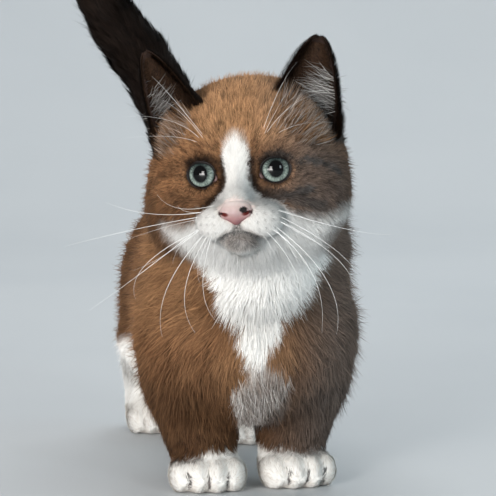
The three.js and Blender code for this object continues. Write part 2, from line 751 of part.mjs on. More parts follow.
const cat = new THREE.Group();
for (const [name, [solid, finish]] of solids) {
  const { numProp, vertProperties, triVerts } = solid.getMesh();
  const geometry = new THREE.BufferGeometry();
  geometry.setAttribute("position", new THREE.BufferAttribute(vertProperties, numProp));
  geometry.setIndex(new THREE.BufferAttribute(triVerts, 1));
  geometry.computeVertexNormals();
  const mesh = new THREE.Mesh(geometry, material[finish]);
  mesh.name = name;
  cat.add(mesh);
}

// The origin is on the floor, below the middle of the animal's box
const extent = new THREE.Box3().setFromObject(cat);
const middle = extent.getCenter(new THREE.Vector3());
cat.position.set(-middle.x, -middle.y, -extent.min.z);

export default cat;
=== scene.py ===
import math
from functools import reduce

import bpy
import numpy as np
from mathutils import Matrix, Vector, kdtree


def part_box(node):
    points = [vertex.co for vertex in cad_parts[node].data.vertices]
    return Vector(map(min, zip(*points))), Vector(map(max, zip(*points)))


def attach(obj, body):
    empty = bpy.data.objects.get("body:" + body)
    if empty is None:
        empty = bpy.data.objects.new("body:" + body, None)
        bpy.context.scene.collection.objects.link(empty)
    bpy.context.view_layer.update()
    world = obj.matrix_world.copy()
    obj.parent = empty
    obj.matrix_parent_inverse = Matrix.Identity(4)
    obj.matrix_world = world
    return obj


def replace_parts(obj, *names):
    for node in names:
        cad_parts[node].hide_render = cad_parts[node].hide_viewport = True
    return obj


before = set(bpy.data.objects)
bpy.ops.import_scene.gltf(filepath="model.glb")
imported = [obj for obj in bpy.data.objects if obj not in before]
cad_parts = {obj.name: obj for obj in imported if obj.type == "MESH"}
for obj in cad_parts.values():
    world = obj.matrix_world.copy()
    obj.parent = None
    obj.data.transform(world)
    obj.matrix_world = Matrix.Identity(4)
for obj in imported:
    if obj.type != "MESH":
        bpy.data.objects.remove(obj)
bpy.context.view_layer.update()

rng = np.random.default_rng(11)

# The anatomy is worked out in millimetres, about a point on the floor between the forelegs: +x is
# the kitten's left, +y backwards, +z up. row() takes such points to the row's frame in metres.

# Driving dimensions
HEAD_HALF_WIDTH = 38.8
BODY_HALF_WIDTH = 44.0
BACK_HEIGHT = 117.0
EYE_RADIUS = 8.6
EYE = np.array([13.0, -19.6, -0.8])
EYE_TURN = math.radians(12)
IRIS_RADIUS = 5.6
BORE = 5.4
EAR_HALF_WIDTH = 15.6
EAR_CUP = 13.0
EAR_WRAP = 1.55
TAIL_RADIUS = 11.5
FORE_X = 18.0


# Fields: below zero inside and about a distance outside, over arrays of points


def ball(c, r):
    c, r = np.array(c, np.float32), np.array(r, np.float32)

    def field(p):
        q = (p - c) / r
        near = np.sqrt(np.einsum("ij,ij->i", q, q))
        q = q / r
        steep = np.sqrt(np.einsum("ij,ij->i", q, q)) + 1e-6
        return near * (near - 1) / steep

    return field


def limb(a, b, ra, rb):
    a, b = np.array(a, np.float32), np.array(b, np.float32)
    d = b - a
    span = float(d @ d)

    def field(p):
        q = p - a
        t = np.clip(q @ d / span, 0, 1)
        q = q - t[:, None] * d
        return np.sqrt(np.einsum("ij,ij->i", q, q)) - (ra + t * (rb - ra))

    return field


def soft_min(a, b, k):
    h = np.maximum(k - np.abs(a - b), 0) / max(k, 1e-6)
    return np.minimum(a, b) - h * h * k / 4


def grown(pieces):
    def field(p):
        total = pieces[0][0](p)
        for piece, k in pieces[1:]:
            total = soft_min(total, piece(p), k)
        return total

    return field


def chain(points, k):
    return grown([(limb(a[:3], b[:3], a[3], b[3]), k) for a, b in zip(points, points[1:])])


def line(*points):
    return chain([[*p, 0.0] for p in points], 0)


def carved(field, hollow, k):
    return lambda p: -soft_min(-field(p), hollow(p), k)


def mirrored(field):
    return lambda p: field(both(p))


def both(p):
    """The same place on the kitten's left."""
    return (p * np.where(p[:, :1] < 0, [-1, 1, 1], [1, 1, 1])).astype(np.float32)


class Place:
    """A frame of its own, turned about z, then x, then y, with its origin at a point."""

    def __init__(self, at, yaw=0, pitch=0, roll=0):
        turn = (
            Matrix.Rotation(math.radians(yaw), 3, "Z")
            @ Matrix.Rotation(math.radians(pitch), 3, "X")
            @ Matrix.Rotation(math.radians(roll), 3, "Y")
        )
        self.turn = np.array(turn, np.float32)
        self.at = np.array(at, np.float32)

    def inside(self, p):
        return ((p - self.at) @ self.turn).astype(np.float32)

    def outside(self, q):
        return np.asarray(q, np.float32) @ self.turn.T + self.at

    def way(self, d):
        return np.asarray(d, np.float32) @ self.turn.T


HEAD = Place((-6, -30, 132), yaw=-19, pitch=-4.5, roll=-4.7)
EYE_OUT = np.array([math.sin(EYE_TURN), -math.cos(EYE_TURN), 0])
HEAD_WAYS = [0, -40, -12]  # the place by the nose that the hair of the head lies away from


def lid_bore(p):
    """The opening between the left lids, which widens outwards along the eye's axis"""
    q = p - EYE.astype(np.float32)
    axial = q[:, 0] * EYE_OUT[0] + q[:, 1] * EYE_OUT[1]
    across = -q[:, 0] * EYE_OUT[1] + q[:, 1] * EYE_OUT[0]
    bore = np.hypot(across, q[:, 2] * (1.1 + 0.2 * ease(-1, 3, q[:, 2]))) - BORE - 0.3 * (axial - 6)
    return np.maximum(bore, 2 - axial) * 0.9


LIPS = [[0, -38.4, -24.5], [3.8, -38.2, -25.3], [6.4, -35.8, -26.3], [8.2, -31.5, -27.2], [12, -25, -27.4]]
PHILTRUM = [[0, -40.4, -20.6], [0, -38.7, -24.3]]


def face_field():
    skull = grown([
        (ball([0, 8, 6], [36.5, 34, 31]), 0),
        (mirrored(ball([20, -4, -10.5], [HEAD_HALF_WIDTH - 20, 22, 18.5])), 10),
        (ball([0, -8, -19], [21, 22, 13]), 8),
        (mirrored(ball([11, -14.5, 10.5], [12, 11, 9])), 12),
        (limb([0, -18, 4], [0, -35.5, -11], 9.5, 5.6), 8),
        (mirrored(ball([14, -20, -12], [11, 9, 8])), 8),
        (mirrored(ball([7.0, -31.8, -19.3], [10, 9.8, 7.8])), 3),
        (ball([0, -33, -20.5], [5, 7, 4.6]), 3),
        (ball([0, -29.2, -26.8], [7, 7.6, 4.8]), 2.5),
    ])
    skull = carved(skull, mirrored(ball([25, -6, 33], [11, 11, 11])), 5)
    dish = mirrored(ball(EYE + EYE_OUT * 17.2, [11, 8, 10]))
    lids = mirrored(ball(EYE, [EYE_RADIUS + 1.6] * 3))
    bare = grown([(carved(skull, dish, 9), 0), (lids, 3)])
    bare = carved(bare, mirrored(lid_bore), 1)
    bare = carved(bare, mirrored(ball([8.9, -28.1, -3.1], [1.2, 1.6, 1.0])), 0.5)
    bare = carved(bare, limb(*PHILTRUM, 0.8, 0.8), 1)
    thick = [0.9, 0.9, 1.0, 0.8, 0.5]
    return carved(bare, mirrored(chain([[*p, r] for p, r in zip(LIPS, thick)], 0.5)), 1)


NOSTRIL = mirrored(limb([2.5, -43.6, -17.8], [5.4, -40.4, -16.4], 0.1, -0.3))


def nose_field(p):
    q = HEAD.inside(p)
    pad = grown([
        (ball([0, -37.6, -14.9], [5.6, 5.2, 3.6]), 0),
        (mirrored(ball([3.9, -38.3, -16.6], [2.6, 3.7, 2.5])), 1.6),
        (limb([0, -40.6, -16.8], [0, -40.6, -19.6], 2.5, 1.2), 2),
        (mirrored(limb([3.2, -40, -17.4], [0.3, -40.6, -19.8], 1.7, 1.2)), 1.2),
    ])
    hole = lambda q: NOSTRIL(q) - 0.75
    groove = limb([0, -44.1, -17.5], [0, -42.6, -21.5], 0.3, 0.55)
    return carved(carved(pad, hole, 0.6), groove, 0.6)(q)


FORELEGS = [(-1, np.array([-FORE_X - 0.2, -1, 0]), -6), (1, np.array([FORE_X, 3, 0]), 12)]
HINDLEGS = [(-1, np.array([-17.5, 146, 0]), -4), (1, np.array([20, 110, 0]), 6)]
FOREPAW = (14.6, 16, 15.5)
HINDPAW = (12.6, 16.5, 13.5)
TAIL = np.array([
    [0, 158, 98, TAIL_RADIUS], [-1, 171, 112, TAIL_RADIUS], [-3, 177, 132, TAIL_RADIUS + 0.5],
    [-11, 176, 153, TAIL_RADIUS + 1], [-21, 174, 169, TAIL_RADIUS + 1], [-31, 172, 181, TAIL_RADIUS],
    [-38.5, 171, 196, TAIL_RADIUS - 1], [-42, 171, 213, TAIL_RADIUS - 1.5],
    [-42.5, 172, 229, TAIL_RADIUS - 3], [-42, 173, 237, TAIL_RADIUS - 6],
])


def paw_field(half, long, high):
    pieces = [(ball([0, 0.1 * long, 0.5 * high], [0.93 * half, long * 0.86, 0.56 * high]), 0)]
    for share in (-0.74, -0.26, 0.26, 0.74):
        back = 3.2 * (abs(share) > 0.5)
        centre = [share * half, -0.52 * long + back, 0.43 * high]
        pieces.append((ball(centre, [0.36 * half, 0.56 * long, 0.48 * high]), 4))
    return grown(pieces)


def placed(field, place):
    return lambda p: field(place.inside(p))


def foreleg_field(sign, paw):
    x, y = float(paw[0]), float(paw[1])
    upper = [[sign * 25, 10, 60, 19], [sign * 24, 12, 42, 17.5]]
    return chain(upper + [[x + sign * 1.5, y + 9, 25, 15], [x, y + 6, 12, 13]], 6)


def hindleg_field(sign, paw):
    x, y = float(paw[0]), float(paw[1])
    shank = [[sign * 20.5, y - 14, 44, 15.5], [x, y + 16, 27, 12.5], [x, y + 8, 12, 11.5], [x, y, 9, 11]]
    return grown([(ball([sign * 17.5, y - 4, 61], [16, 28, 32]), 0), (chain(shank, 7), 10)])


TORSO = grown([
    (ball([0, 38, 72], [41, 52, 45]), 0),
    (ball([0, 92, 67], [36, 54, 43]), 14),
    (ball([1.5, 134, 73], [31.5, 38, BACK_HEIGHT - 73]), 14),
    (ball([-1, -6, 66], [34, 23, 36]), 12),
    (mirrored(ball([BODY_HALF_WIDTH - 22, 10, 64], [22, 27, 31])), 12),
    (ball([0, 0, 43], [16, 20, 15]), 8),
    (mirrored(ball([17, 0, 98], [23, 22, 20])), 12),
    (ball([-4, -24, 99], [23, 20, 20]), 12),
    (limb([0, 28, 84], [-3, -8, 114], 34, 32.5), 16),
])
LEGS = grown(
    [(foreleg_field(s, paw), 9) for s, paw, _ in FORELEGS]
    + [(placed(paw_field(*FOREPAW), Place(paw, yaw)), 4) for _, paw, yaw in FORELEGS]
    + [(hindleg_field(s, paw), 9) for s, paw, _ in HINDLEGS]
    + [(placed(paw_field(*HINDPAW), Place(paw, yaw)), 5) for _, paw, yaw in HINDLEGS]
)
TAIL_FIELD = chain(TAIL.tolist(), 6)
FACE = placed(face_field(), HEAD)
BODY = grown([(TORSO, 0), (LEGS, 9), (TAIL_FIELD, 12)])
WHOLE = grown([(BODY, 0), (FACE, 9)])
DRAPE = grown([(BODY, 0), (FACE, 24)])


def gradient(field, p, h=0.08):
    p = p.astype(np.float32)
    out = np.empty_like(p)
    for i in range(3):
        step = np.zeros(3, np.float32)
        step[i] = h
        out[:, i] = field(p + step) - field(p - step)
    return out / (2 * h)


def unit(v):
    return v / np.maximum(np.linalg.norm(v, axis=-1, keepdims=True), 1e-9)


def far(v):
    return np.linalg.norm(v, axis=1)


def ease(low, high, x):
    t = np.clip((x - low) / (high - low), 0, 1)
    return t * t * (3 - 2 * t)


def blend(a, b, share):
    return a * (1 - share) + b * share


def most(*shares):
    return reduce(np.maximum, shares)


def columns(*values):
    """One row for each place, from its values, each an array or one number for all places"""
    return np.stack(np.broadcast_arrays(*values), 1)


def noise(p, scale, seed):
    """Smooth noise in -1..1 from a few turned sine waves, the same every run."""
    r = np.random.default_rng(seed)
    total = np.zeros(len(p))
    for octave in range(4):
        ways = unit(r.normal(size=(3, 3))) / (scale * 0.62**octave)
        phase = r.uniform(0, 6.28, 3)
        waves = np.sin(p @ ways.T * 6.28 + phase)
        total += waves.prod(1) * 0.75**octave + waves.sum(1) * 0.12 * 0.75**octave
    return np.clip(total * 0.8, -1, 1)


def outline_gap(u, v, outline):
    """How far inside a closed outline each place is, below zero outside it."""
    near, inside = np.full(len(u), 1e9), np.zeros(len(u), bool)
    for (x0, y0), (x1, y1) in zip(outline, outline[1:] + outline[:1]):
        dx, dy = x1 - x0, y1 - y0
        t = np.clip(((u - x0) * dx + (v - y0) * dy) / (dx * dx + dy * dy), 0, 1)
        near = np.minimum(near, np.hypot(u - x0 - t * dx, v - y0 - t * dy))
        inside ^= ((y0 > v) != (y1 > v)) & (u < dx * (v - y0) / (dy or 1e-9) + x0)
    return np.where(inside, near, -near)


# How deep the coat is: the skin lies this far inside the outline


def eye_gap(q):
    return far(both(q) - EYE)


def off_eye(q):
    """The way straight out from the nearer eye's axis to each place"""
    turn = np.where(q[:, :1] < 0, [-1, 1, 1], [1, 1, 1])
    off, way = q - EYE * turn, EYE_OUT * turn
    return off - (off * way).sum(1, keepdims=True) * way


def head_share_of(p, width=5):
    return ease(width, -width, FACE(p) - BODY(p))


def tail_share_of(p):
    return ease(5, -5, TAIL_FIELD(p) - TORSO(p))


def coat_depth(p):
    q = HEAD.inside(p)
    head_share, tail_share = head_share_of(p, 6), tail_share_of(p)
    head = 0.45 + 2.6 * ease(8, 58, far(q - HEAD_WAYS))
    head = np.minimum(head, 0.25 + 2.6 * ease(8.5, 24, eye_gap(q)))
    body = 0.6 + 3.2 * ease(8, 50, p[:, 2])
    return blend(blend(body, 3.4, tail_share), head, head_share)


def skin_level(p):
    return WHOLE(p) + coat_depth(p)


# The skin: cells are laid over the field, and each cell that the surface crosses gets a point


def spaced(low, high, stretches, fine, coarse):
    """Grid lines, closer together over some stretches, in a count of 4n + 1"""
    lines = [low]
    while lines[-1] < high or len(lines) % 4 != 1:
        close = any(a < lines[-1] < b for a, b in stretches)
        lines.append(lines[-1] + (fine if close else coarse))
    return np.array(lines, np.float32)


def surface_net(field, lines, reach):
    size = [len(a) for a in lines]
    rough_at = np.meshgrid(*[a[::4] for a in lines], indexing="ij")
    fine = field(np.stack(rough_at, -1).reshape(-1, 3)).reshape(rough_at[0].shape)
    for axis in range(3):
        a = np.moveaxis(fine, axis, 0)
        steps = [a[:-1] * (1 - t) + a[1:] * t for t in (0, 0.25, 0.5, 0.75)]
        a = np.concatenate([np.stack(steps, 1).reshape(-1, *a.shape[1:]), a[-1:]])
        fine = np.moveaxis(a, 0, axis)
    fine = np.ascontiguousarray(fine, np.float32)
    near = np.argwhere(np.abs(fine) < reach)
    points = np.stack([lines[i][near[:, i]] for i in range(3)], 1)
    chunks = np.array_split(points, max(1, len(points) // 200000))
    fine[tuple(near.T)] = np.concatenate([field(chunk) for chunk in chunks])
    inside = fine < 0
    cells = np.array(size) - 1
    corners = np.array([[i, j, k] for i in (0, 1) for j in (0, 1) for k in (0, 1)])
    parts = [inside[tuple(slice(c[i], c[i] + cells[i]) for i in range(3))] for c in corners]
    count = sum(part.astype(np.int8) for part in parts)
    where = np.argwhere((count > 0) & (count < 8))
    total, crossings = np.zeros((len(where), 3)), np.zeros(len(where))
    for axis in range(3):
        for a in corners[corners[:, axis] == 0]:
            b = a.copy()
            b[axis] = 1
            va, vb = fine[tuple((where + a).T)], fine[tuple((where + b).T)]
            cut = (va < 0) != (vb < 0)
            t = np.where(cut, va / np.where(cut, va - vb, 1), 0)
            total += np.where(cut[:, None], a + (b - a) * t[:, None], 0)
            crossings += cut
    spot = where + total / crossings[:, None]
    verts = np.stack([np.interp(spot[:, i], np.arange(size[i]), lines[i]) for i in range(3)], 1)
    index = np.full(cells, -1)
    index[tuple(where.T)] = np.arange(len(where))
    quads = []
    for axis in range(3):
        b, c = (axis + 1) % 3, (axis + 2) % 3
        lead = np.moveaxis(inside, axis, 0)
        start = np.argwhere(np.moveaxis(lead[:-1] != lead[1:], 0, axis))
        keep = (start[:, b] > 0) & (start[:, c] > 0) & (start[:, b] < cells[b]) & (start[:, c] < cells[c])
        start = start[keep]
        ring = []
        for db, dc in ((1, 1), (0, 1), (0, 0), (1, 0)):
            n = start.copy()
            n[:, b] -= db
            n[:, c] -= dc
            ring.append(index[tuple(n.T)])
        ring = np.stack(ring, 1)
        flip = ~inside[tuple(start.T)]
        ring[flip] = ring[flip][:, ::-1]
        quads.append(ring)
    for _ in range(2):
        slope = gradient(field, verts)
        length = np.maximum(np.linalg.norm(slope, axis=1), 0.5)
        step = np.clip(field(verts.astype(np.float32)) / length, -0.8, 0.8)
        verts = verts - unit(slope) * step[:, None]
    return verts.astype(np.float32), np.concatenate(quads)


# Meshes and objects

SHIFT = np.array(sum(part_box("eye_left"), Vector()) / 2) * 1000 - HEAD.outside(EYE[None])[0]


def row(p):
    return (np.asarray(p) + SHIFT) * 0.001


def lattice(rows, around):
    """The faces between rows of points, each row closed into a ring"""
    r, c = (a.ravel() for a in np.mgrid[:rows - 1, :around])
    here, there = r * around + c, r * around + (c + 1) % around
    return np.stack([here, there, there + around, here + around], 1)


def show(name, data):
    piece = bpy.data.objects.new(name, data)
    bpy.context.scene.collection.objects.link(piece)
    return piece


def new_object(name, verts, faces, material, normals=None, uv=None, colours=None):
    mesh = bpy.data.meshes.new(name)
    verts, faces = np.asarray(verts), np.asarray(faces)
    mesh.vertices.add(len(verts))
    mesh.vertices.foreach_set("co", row(verts).astype(np.float32).ravel())
    mesh.loops.add(faces.size)
    mesh.loops.foreach_set("vertex_index", faces.astype(np.int32).ravel())
    mesh.polygons.add(len(faces))
    mesh.polygons.foreach_set("loop_start", np.arange(len(faces), dtype=np.int32) * faces.shape[1])
    mesh.polygons.foreach_set("use_smooth", np.ones(len(faces), bool))
    mesh.update(calc_edges=True)
    mesh.validate()
    if uv is not None:
        layer = mesh.uv_layers.new(name="OFBake")
        layer.data.foreach_set("uv", uv[faces.ravel()].astype(np.float32).ravel())
    for key, values in (colours or {}).items():
        layer = mesh.attributes.new(key, "FLOAT_COLOR", "POINT")
        opaque = np.concatenate([values, np.ones((len(values), 1))], 1)
        layer.data.foreach_set("color", opaque.astype(np.float32).ravel())
    if normals is not None:
        mesh.normals_split_custom_set_from_vertices(normals.astype(np.float32))
    mesh.materials.append(material)
    piece = show(name, mesh)
    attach(piece, "root")
    return piece


# Materials


def tint(r, g, b):
    """A display colour, 0 to 255, as a linear one."""
    c = np.array([r, g, b]) / 255.0
    return (*np.where(c <= 0.04045, c / 12.92, ((c + 0.055) / 1.055) ** 2.4), 1.0)


class Nodes:
    """A material's nodes, made and joined in one line each."""

    def __init__(self, name):
        self.material = bpy.data.materials.new(name)
        self.material.use_nodes = True
        self.tree = self.material.node_tree
        self.shader = next(n for n in self.tree.nodes if n.type == "BSDF_PRINCIPLED")

    def add(self, kind, **settings):
        node = self.tree.nodes.new(kind)
        for key, value in settings.items():
            setattr(node, key, value)
        return node

    def join(self, source, target):
        self.tree.links.new(source, target)

    def fill(self, value, socket):
        if isinstance(value, bpy.types.NodeSocket):
            self.join(value, socket)
        else:
            socket.default_value = value

    def attribute(self, name):
        node = self.add("ShaderNodeAttribute", attribute_name=name)
        split = self.add("ShaderNodeSeparateColor")
        self.join(node.outputs["Color"], split.inputs[0])
        return split.outputs

    def mix(self, factor, a, b, blend="MIX"):
        node = self.add("ShaderNodeMix", data_type="RGBA", blend_type=blend)
        for value, socket in zip((factor, a, b), (node.inputs[0], node.inputs[6], node.inputs[7])):
            self.fill(value, socket)
        return node.outputs[2]

    def math(self, operation, *values):
        node = self.add("ShaderNodeMath", operation=operation)
        for value, socket in zip(values, node.inputs):
            self.fill(value, socket)
        return node.outputs[0]

    def ramp(self, factor, stops):
        node = self.add("ShaderNodeValToRGB")
        elements = node.color_ramp.elements
        while len(elements) < len(stops):
            elements.new(0.5)
        for element, (place, colour) in zip(elements, stops):
            element.position = place
            element.color = colour
        self.join(factor, node.inputs[0])
        return node.outputs[0]

    def texture(self, kind, scale, **values):
        node = self.add(kind)
        place = self.add("ShaderNodeTexCoord")
        self.join(place.outputs["Object"], node.inputs["Vector"])
        node.inputs["Scale"].default_value = scale
        for key, value in values.items():
            node.inputs[key].default_value = value
        return node.outputs[0]

    def noise(self, scale, detail=3.0):
        return self.texture("ShaderNodeTexNoise", scale, Detail=detail)

    def mottle(self, scale, low, high, edge=0.3):
        return self.ramp(self.noise(scale), [(edge, low), (1 - edge, high)])

    def base(self, colour):
        self.join(colour, self.shader.inputs["Base Color"])

    def bump(self, height, strength, distance):
        node = self.add("ShaderNodeBump")
        node.inputs["Strength"].default_value = strength
        node.inputs["Distance"].default_value = distance
        self.join(height, node.inputs["Height"])
        self.join(node.outputs[0], self.shader.inputs["Normal"])

    def set(self, **values):
        for key, value in values.items():
            self.shader.inputs[key.replace("_", " ")].default_value = value


# The coat's colours, each as it is at the root and at the tip of a hair. The darker roots are partly the
# hairs' own colour and partly painted shade for the depth of the coat.
BROWN = tint(40, 24, 14), tint(133, 94, 64)
TAN = tint(80, 50, 30), tint(182, 139, 100)
DARK = tint(6, 4, 3), tint(28, 19, 14)
WHITE = tint(232, 227, 220), tint(254, 253, 250)
# GREY is the grey hair of the chin, whisker pads and ear fronts, and also painted shade by the mouth, low on
# the chest and on the kitten's left side
GREY = tint(60, 59, 58), tint(130, 131, 131)


def coat_material(name):
    n = Nodes(name)
    # the dark, tan and grey shares carry markings and also painted light and shade; the tone carries painted
    # shade on the white of the face
    white, dark, tan = n.attribute("mark")[:3]
    length, tone, grey = n.attribute("strand")[:3]
    coat = n.mix(length, *BROWN)
    coat = n.mix(tan, coat, n.mix(length, *TAN))
    coat = n.mix(dark, coat, n.mix(length, *DARK))
    coat = n.mix(grey, coat, n.mix(length, *GREY))
    shaded = n.mix(1.0, coat, n.math("MULTIPLY_ADD", tone, 1.3, 0.35), "MULTIPLY")
    pale = n.mix(1.0, n.mix(length, *WHITE), n.math("MULTIPLY_ADD", tone, 0.6, 0.45), "MULTIPLY")
    n.base(n.mix(white, shaded, pale))
    n.set(Roughness=0.7, Specular_IOR_Level=0.1)
    return n.material


def skin_material():
    n = Nodes("skin")
    white, dark, tan = n.attribute("mark")[:3]
    bare, pink = n.attribute("strand")[:2]
    hide = n.mix(dark, n.mix(tan, tint(72, 50, 36), tint(104, 74, 52)), tint(24, 17, 14))
    hide = n.mix(white, hide, tint(236, 230, 224))
    hide = n.mix(pink, hide, tint(214, 198, 192))
    # the dark bare skin of mouth and lids, also used as painted shade in the toe clefts and beside the
    # nostrils
    hide = n.mix(bare, hide, tint(46, 24, 24))
    speck = n.mottle(900.0, (0.8, 0.8, 0.8, 1), (1, 1, 1, 1), 0.35)
    n.base(n.mix(1.0, hide, speck, "MULTIPLY"))
    n.bump(n.noise(1400.0), 0.3, 0.0004)
    n.set(Roughness=0.7)
    return n.material


# Markings, with some painted light and shade among them. q is a place in the head's frame, p in the whole
# kitten's.

# The white of the face in the head's x and z, and the bib in the body's
HEAD_WHITE = [
    (-16.3, -48), (-16.3, -42.2), (-18.3, -38.9), (-19.9, -36.1), (-21.9, -32.8), (-25.2, -30.2),
    (-28.8, -26), (-31.5, -22.6), (-32.5, -19.8), (-27.4, -20.7), (-23.6, -21.2), (-18.4, -19.6),
    (-16.6, -17.2), (-12.4, -14.6), (-8.9, -11.5), (-6.4, -8.6), (-4.9, -6.7), (-4.3, -3.4),
    (-4.6, -0.2), (-5, 3.1), (-5, 6.4), (-4.7, 8.2), (-4.2, 10.4), (-2.6, 12.4),
    (-0.8, 14), (1, 13), (2.6, 11), (3.9, 8.6), (4.6, 5.6), (4.2, 2.4),
    (4.2, -0.8), (4.6, -4.1), (5.6, -7.4), (6.9, -9.4), (8.9, -11.6), (14.6, -13.3),
    (18.8, -17.2), (22.4, -19.4), (26, -20.4), (29.4, -20.7), (33, -20.6), (35.6, -19.2),
    (40, -15), (38, -21), (34, -23.5), (31.4, -26), (28.6, -29.5), (27, -33),
    (26.5, -48),
]
BIB = [
    (-24, 120), (-30, 107), (-30.5, 102), (-28, 98.3), (-25.6, 95.2), (-23.6, 92.4),
    (-21.3, 89.2), (-19.6, 85), (-19, 81.4), (-16, 76), (-12.8, 70.7), (-10.4, 64.7),
    (-7.4, 58.7), (-4.3, 52.6), (-5.5, 48), (-8.2, 46), (-11.5, 42), (-10.5, 38),
    (-7.5, 31.8), (-6.3, 27.2), (-5, 22), (4, 22), (2, 31.9), (5, 35.8),
    (9.4, 40.8), (12, 45.4), (6, 49.5), (1.5, 53), (0.8, 56.2), (4.7, 62),
    (8.4, 69.1), (16, 76.7), (19.6, 80), (21, 83.6), (21.4, 89), (22, 92.5),
    (25.5, 93.5), (26, 96), (24, 100.4), (24.5, 103.6), (26, 108), (22, 125),
]
LIP_LINE = mirrored(line(*LIPS))
SPLIT = limb(*PHILTRUM, 0.0, 0.0)
EYE_BANDS = grown([
    (line([18.7, -24, 0], [27, -20, 1.5], [36, -11, -3]), 0),
    (line([8, -30, -9], [15, -29, -12], [21, -27.6, -11], [27, -24.5, -9]), 0),
])
LOW_CHEEK = line([10, -29, -10], [17, -28, -11], [23, -27.5, -13.6], [31, -21, -16])

# Seen from in front, with every y at 0: a dark line beside the blaze, and the rows of spots on the pads
TEAR_LINE = mirrored(line([5.6, 0, 3], [5.3, 0, -2], [6.2, 0, -6.5], [8.4, 0, -10], [12, 0, -12.2]))
SPOTS = [(8.5 + 2.7 * n, -14.5 - 3.1 * r + 0.35 * n) for r in range(4) for n in range(4 - (r == 3))]

# The ears: the middle of the foot, the tip and the way that the cup faces
EARS = [
    ([22.9, -6, 17], [31.9, -3, 50.5], [0.35, -1, 0.1]),
    ([-24.8, -6, 17], [-38.2, -3, 49.5], [-0.75, -1, 0.1]),
]


def head_white(q):
    wave = noise(q, 8, 5)
    gap = outline_gap(q[:, 0] + 0.5 * wave, q[:, 2] + 0.5 * wave, HEAD_WHITE)
    soft = 0.7 + 3.2 * ease(13, 28, np.abs(q[:, 0])) * ease(-10, -18, q[:, 2]) + 2.4 * ease(5, 14, q[:, 2])
    return ease(-1, 1, gap / soft) * ease(14, 0, q[:, 1])


def body_white(p):
    wave = noise(p, 24, 8) * 1.6 + noise(p, 7, 9) * 0.8
    x, y, z = p[:, 0] + wave, p[:, 1], p[:, 2] + wave
    chest = ease(-1.2, 1.2, outline_gap(x, z, BIB)) * ease(26, 8, y + 14 * ease(106, 116, z))
    belly = ease(44, 36, z - 0.1 * np.abs(x)) * ease(14, 24, y) * ease(150, 138, y)
    near = [np.hypot(p[:, 0] - paw[0], p[:, 1] - paw[1]) for _, paw, _ in FORELEGS]
    top = 15.0 - 0.25 * np.maximum(-18 - p[:, 0], 0) - 0.06 * np.maximum(p[:, 0], 0)
    gloves = ease(1.2, -1.2, z - wave * 0.6 - top) * ease(32, 26, np.minimum(*near)) * ease(60, 50, y)
    hind = ease(47, 40, z - 0.5 * wave + 0.25 * (y - 130)) * ease(84, 92, y)
    return np.clip(np.maximum.reduce([chest, belly, gloves, hind]), 0, 1)


def ear_pocket(q):
    """How near each place is to the fold at the outer foot of an ear, where the dark coat is painted darker
    still as the fold's shade
    """
    x, y, z = q.T
    over = (np.abs(x) - 25) * 0.868 + (z - 24) * 0.497
    level = ease(-0.8, 1.4, over) * ease(5, 9, z) * ease(36, 30, z)
    return level * ease(-22, -12, y) * ease(26, 16, y)


def ear_front(q):
    """How near each place is to the foot of an ear, in front of its cup"""
    fronts = [root + unit(np.array(way)) * 9 - [0, 0, 1] for root, _, way in EARS]
    gaps = [far((q - front) * [0.9, 0.8, 1.2]) for front in fronts]
    return ease(15, 5, np.minimum(*gaps)) * (1 - ear_pocket(q))


def slits(p):
    """Dark lines between the toes: painted shade in the clefts, faint on the hind feet"""
    total = np.zeros(len(p))
    for legs, (half, long, high), shown in ((FORELEGS, FOREPAW, 1.0), (HINDLEGS, HINDPAW, 0.3)):
        for _, paw, yaw in legs:
            x, y, z = Place(paw, yaw).inside(p).T
            gap = np.min([np.abs(x - share * half * (1 + 0.006 * z)) for share in (-0.5, 0, 0.5)], 0)
            slit = ease(0.7, 0.3, gap) * ease(0.58 * high, 0.5 * high, z) * ease(0.1 * high, 0.24 * high, z)
            total = most(total, shown * slit * ease(-0.5 * long, -0.7 * long, y) * (y > -2 * long))
    return total


def eye_mask(q):
    """The dark fur round the eyes, under them and down beside the blaze. The ring next to each eye is darker
    above it, painted shade of the upper lid's crease, and the bands under the eyes are darker on the kitten's
    left, painted shade of that side.
    """
    from_eye = off_eye(q)
    off = far(from_eye * [0.85, 1, 1]) + noise(q, 6, 3) * 0.8
    upper = ease(-0.1, 0.7, unit(from_eye)[:, 2])
    bands = EYE_BANDS(both(q)) + noise(q, 4, 13) * 0.8
    low_cheek = LOW_CHEEK(q) + noise(q, 4, 15) * 0.8
    tears = TEAR_LINE(q * [1, 0, 1]) + noise(q, 3, 14) * 0.3
    return most(
        ease(15, 8, off) * 0.25 + ease(8.6, 6.3, off) * (0.1 + 0.55 * upper),
        ease(4.8, 0.5, bands) * (0.55 + 0.4 * ease(-2, 8, q[:, 0])),
        ease(6, 1, low_cheek) * 0.85,
        ease(5, 2, tears) * 0.5 + ease(2, 0.8, tears) * 0.4,
    )


def pale_rim(q):
    """The paler edge of the fur under each eye, on the side of the cheek"""
    off = off_eye(q)
    down = unit(columns(0.7 * np.sign(q[:, 0]), 0, -0.7))
    return ease(1.1, 0.3, np.abs(far(off) - 6.9)) * ease(0.2, 0.7, (unit(off) * down).sum(1))


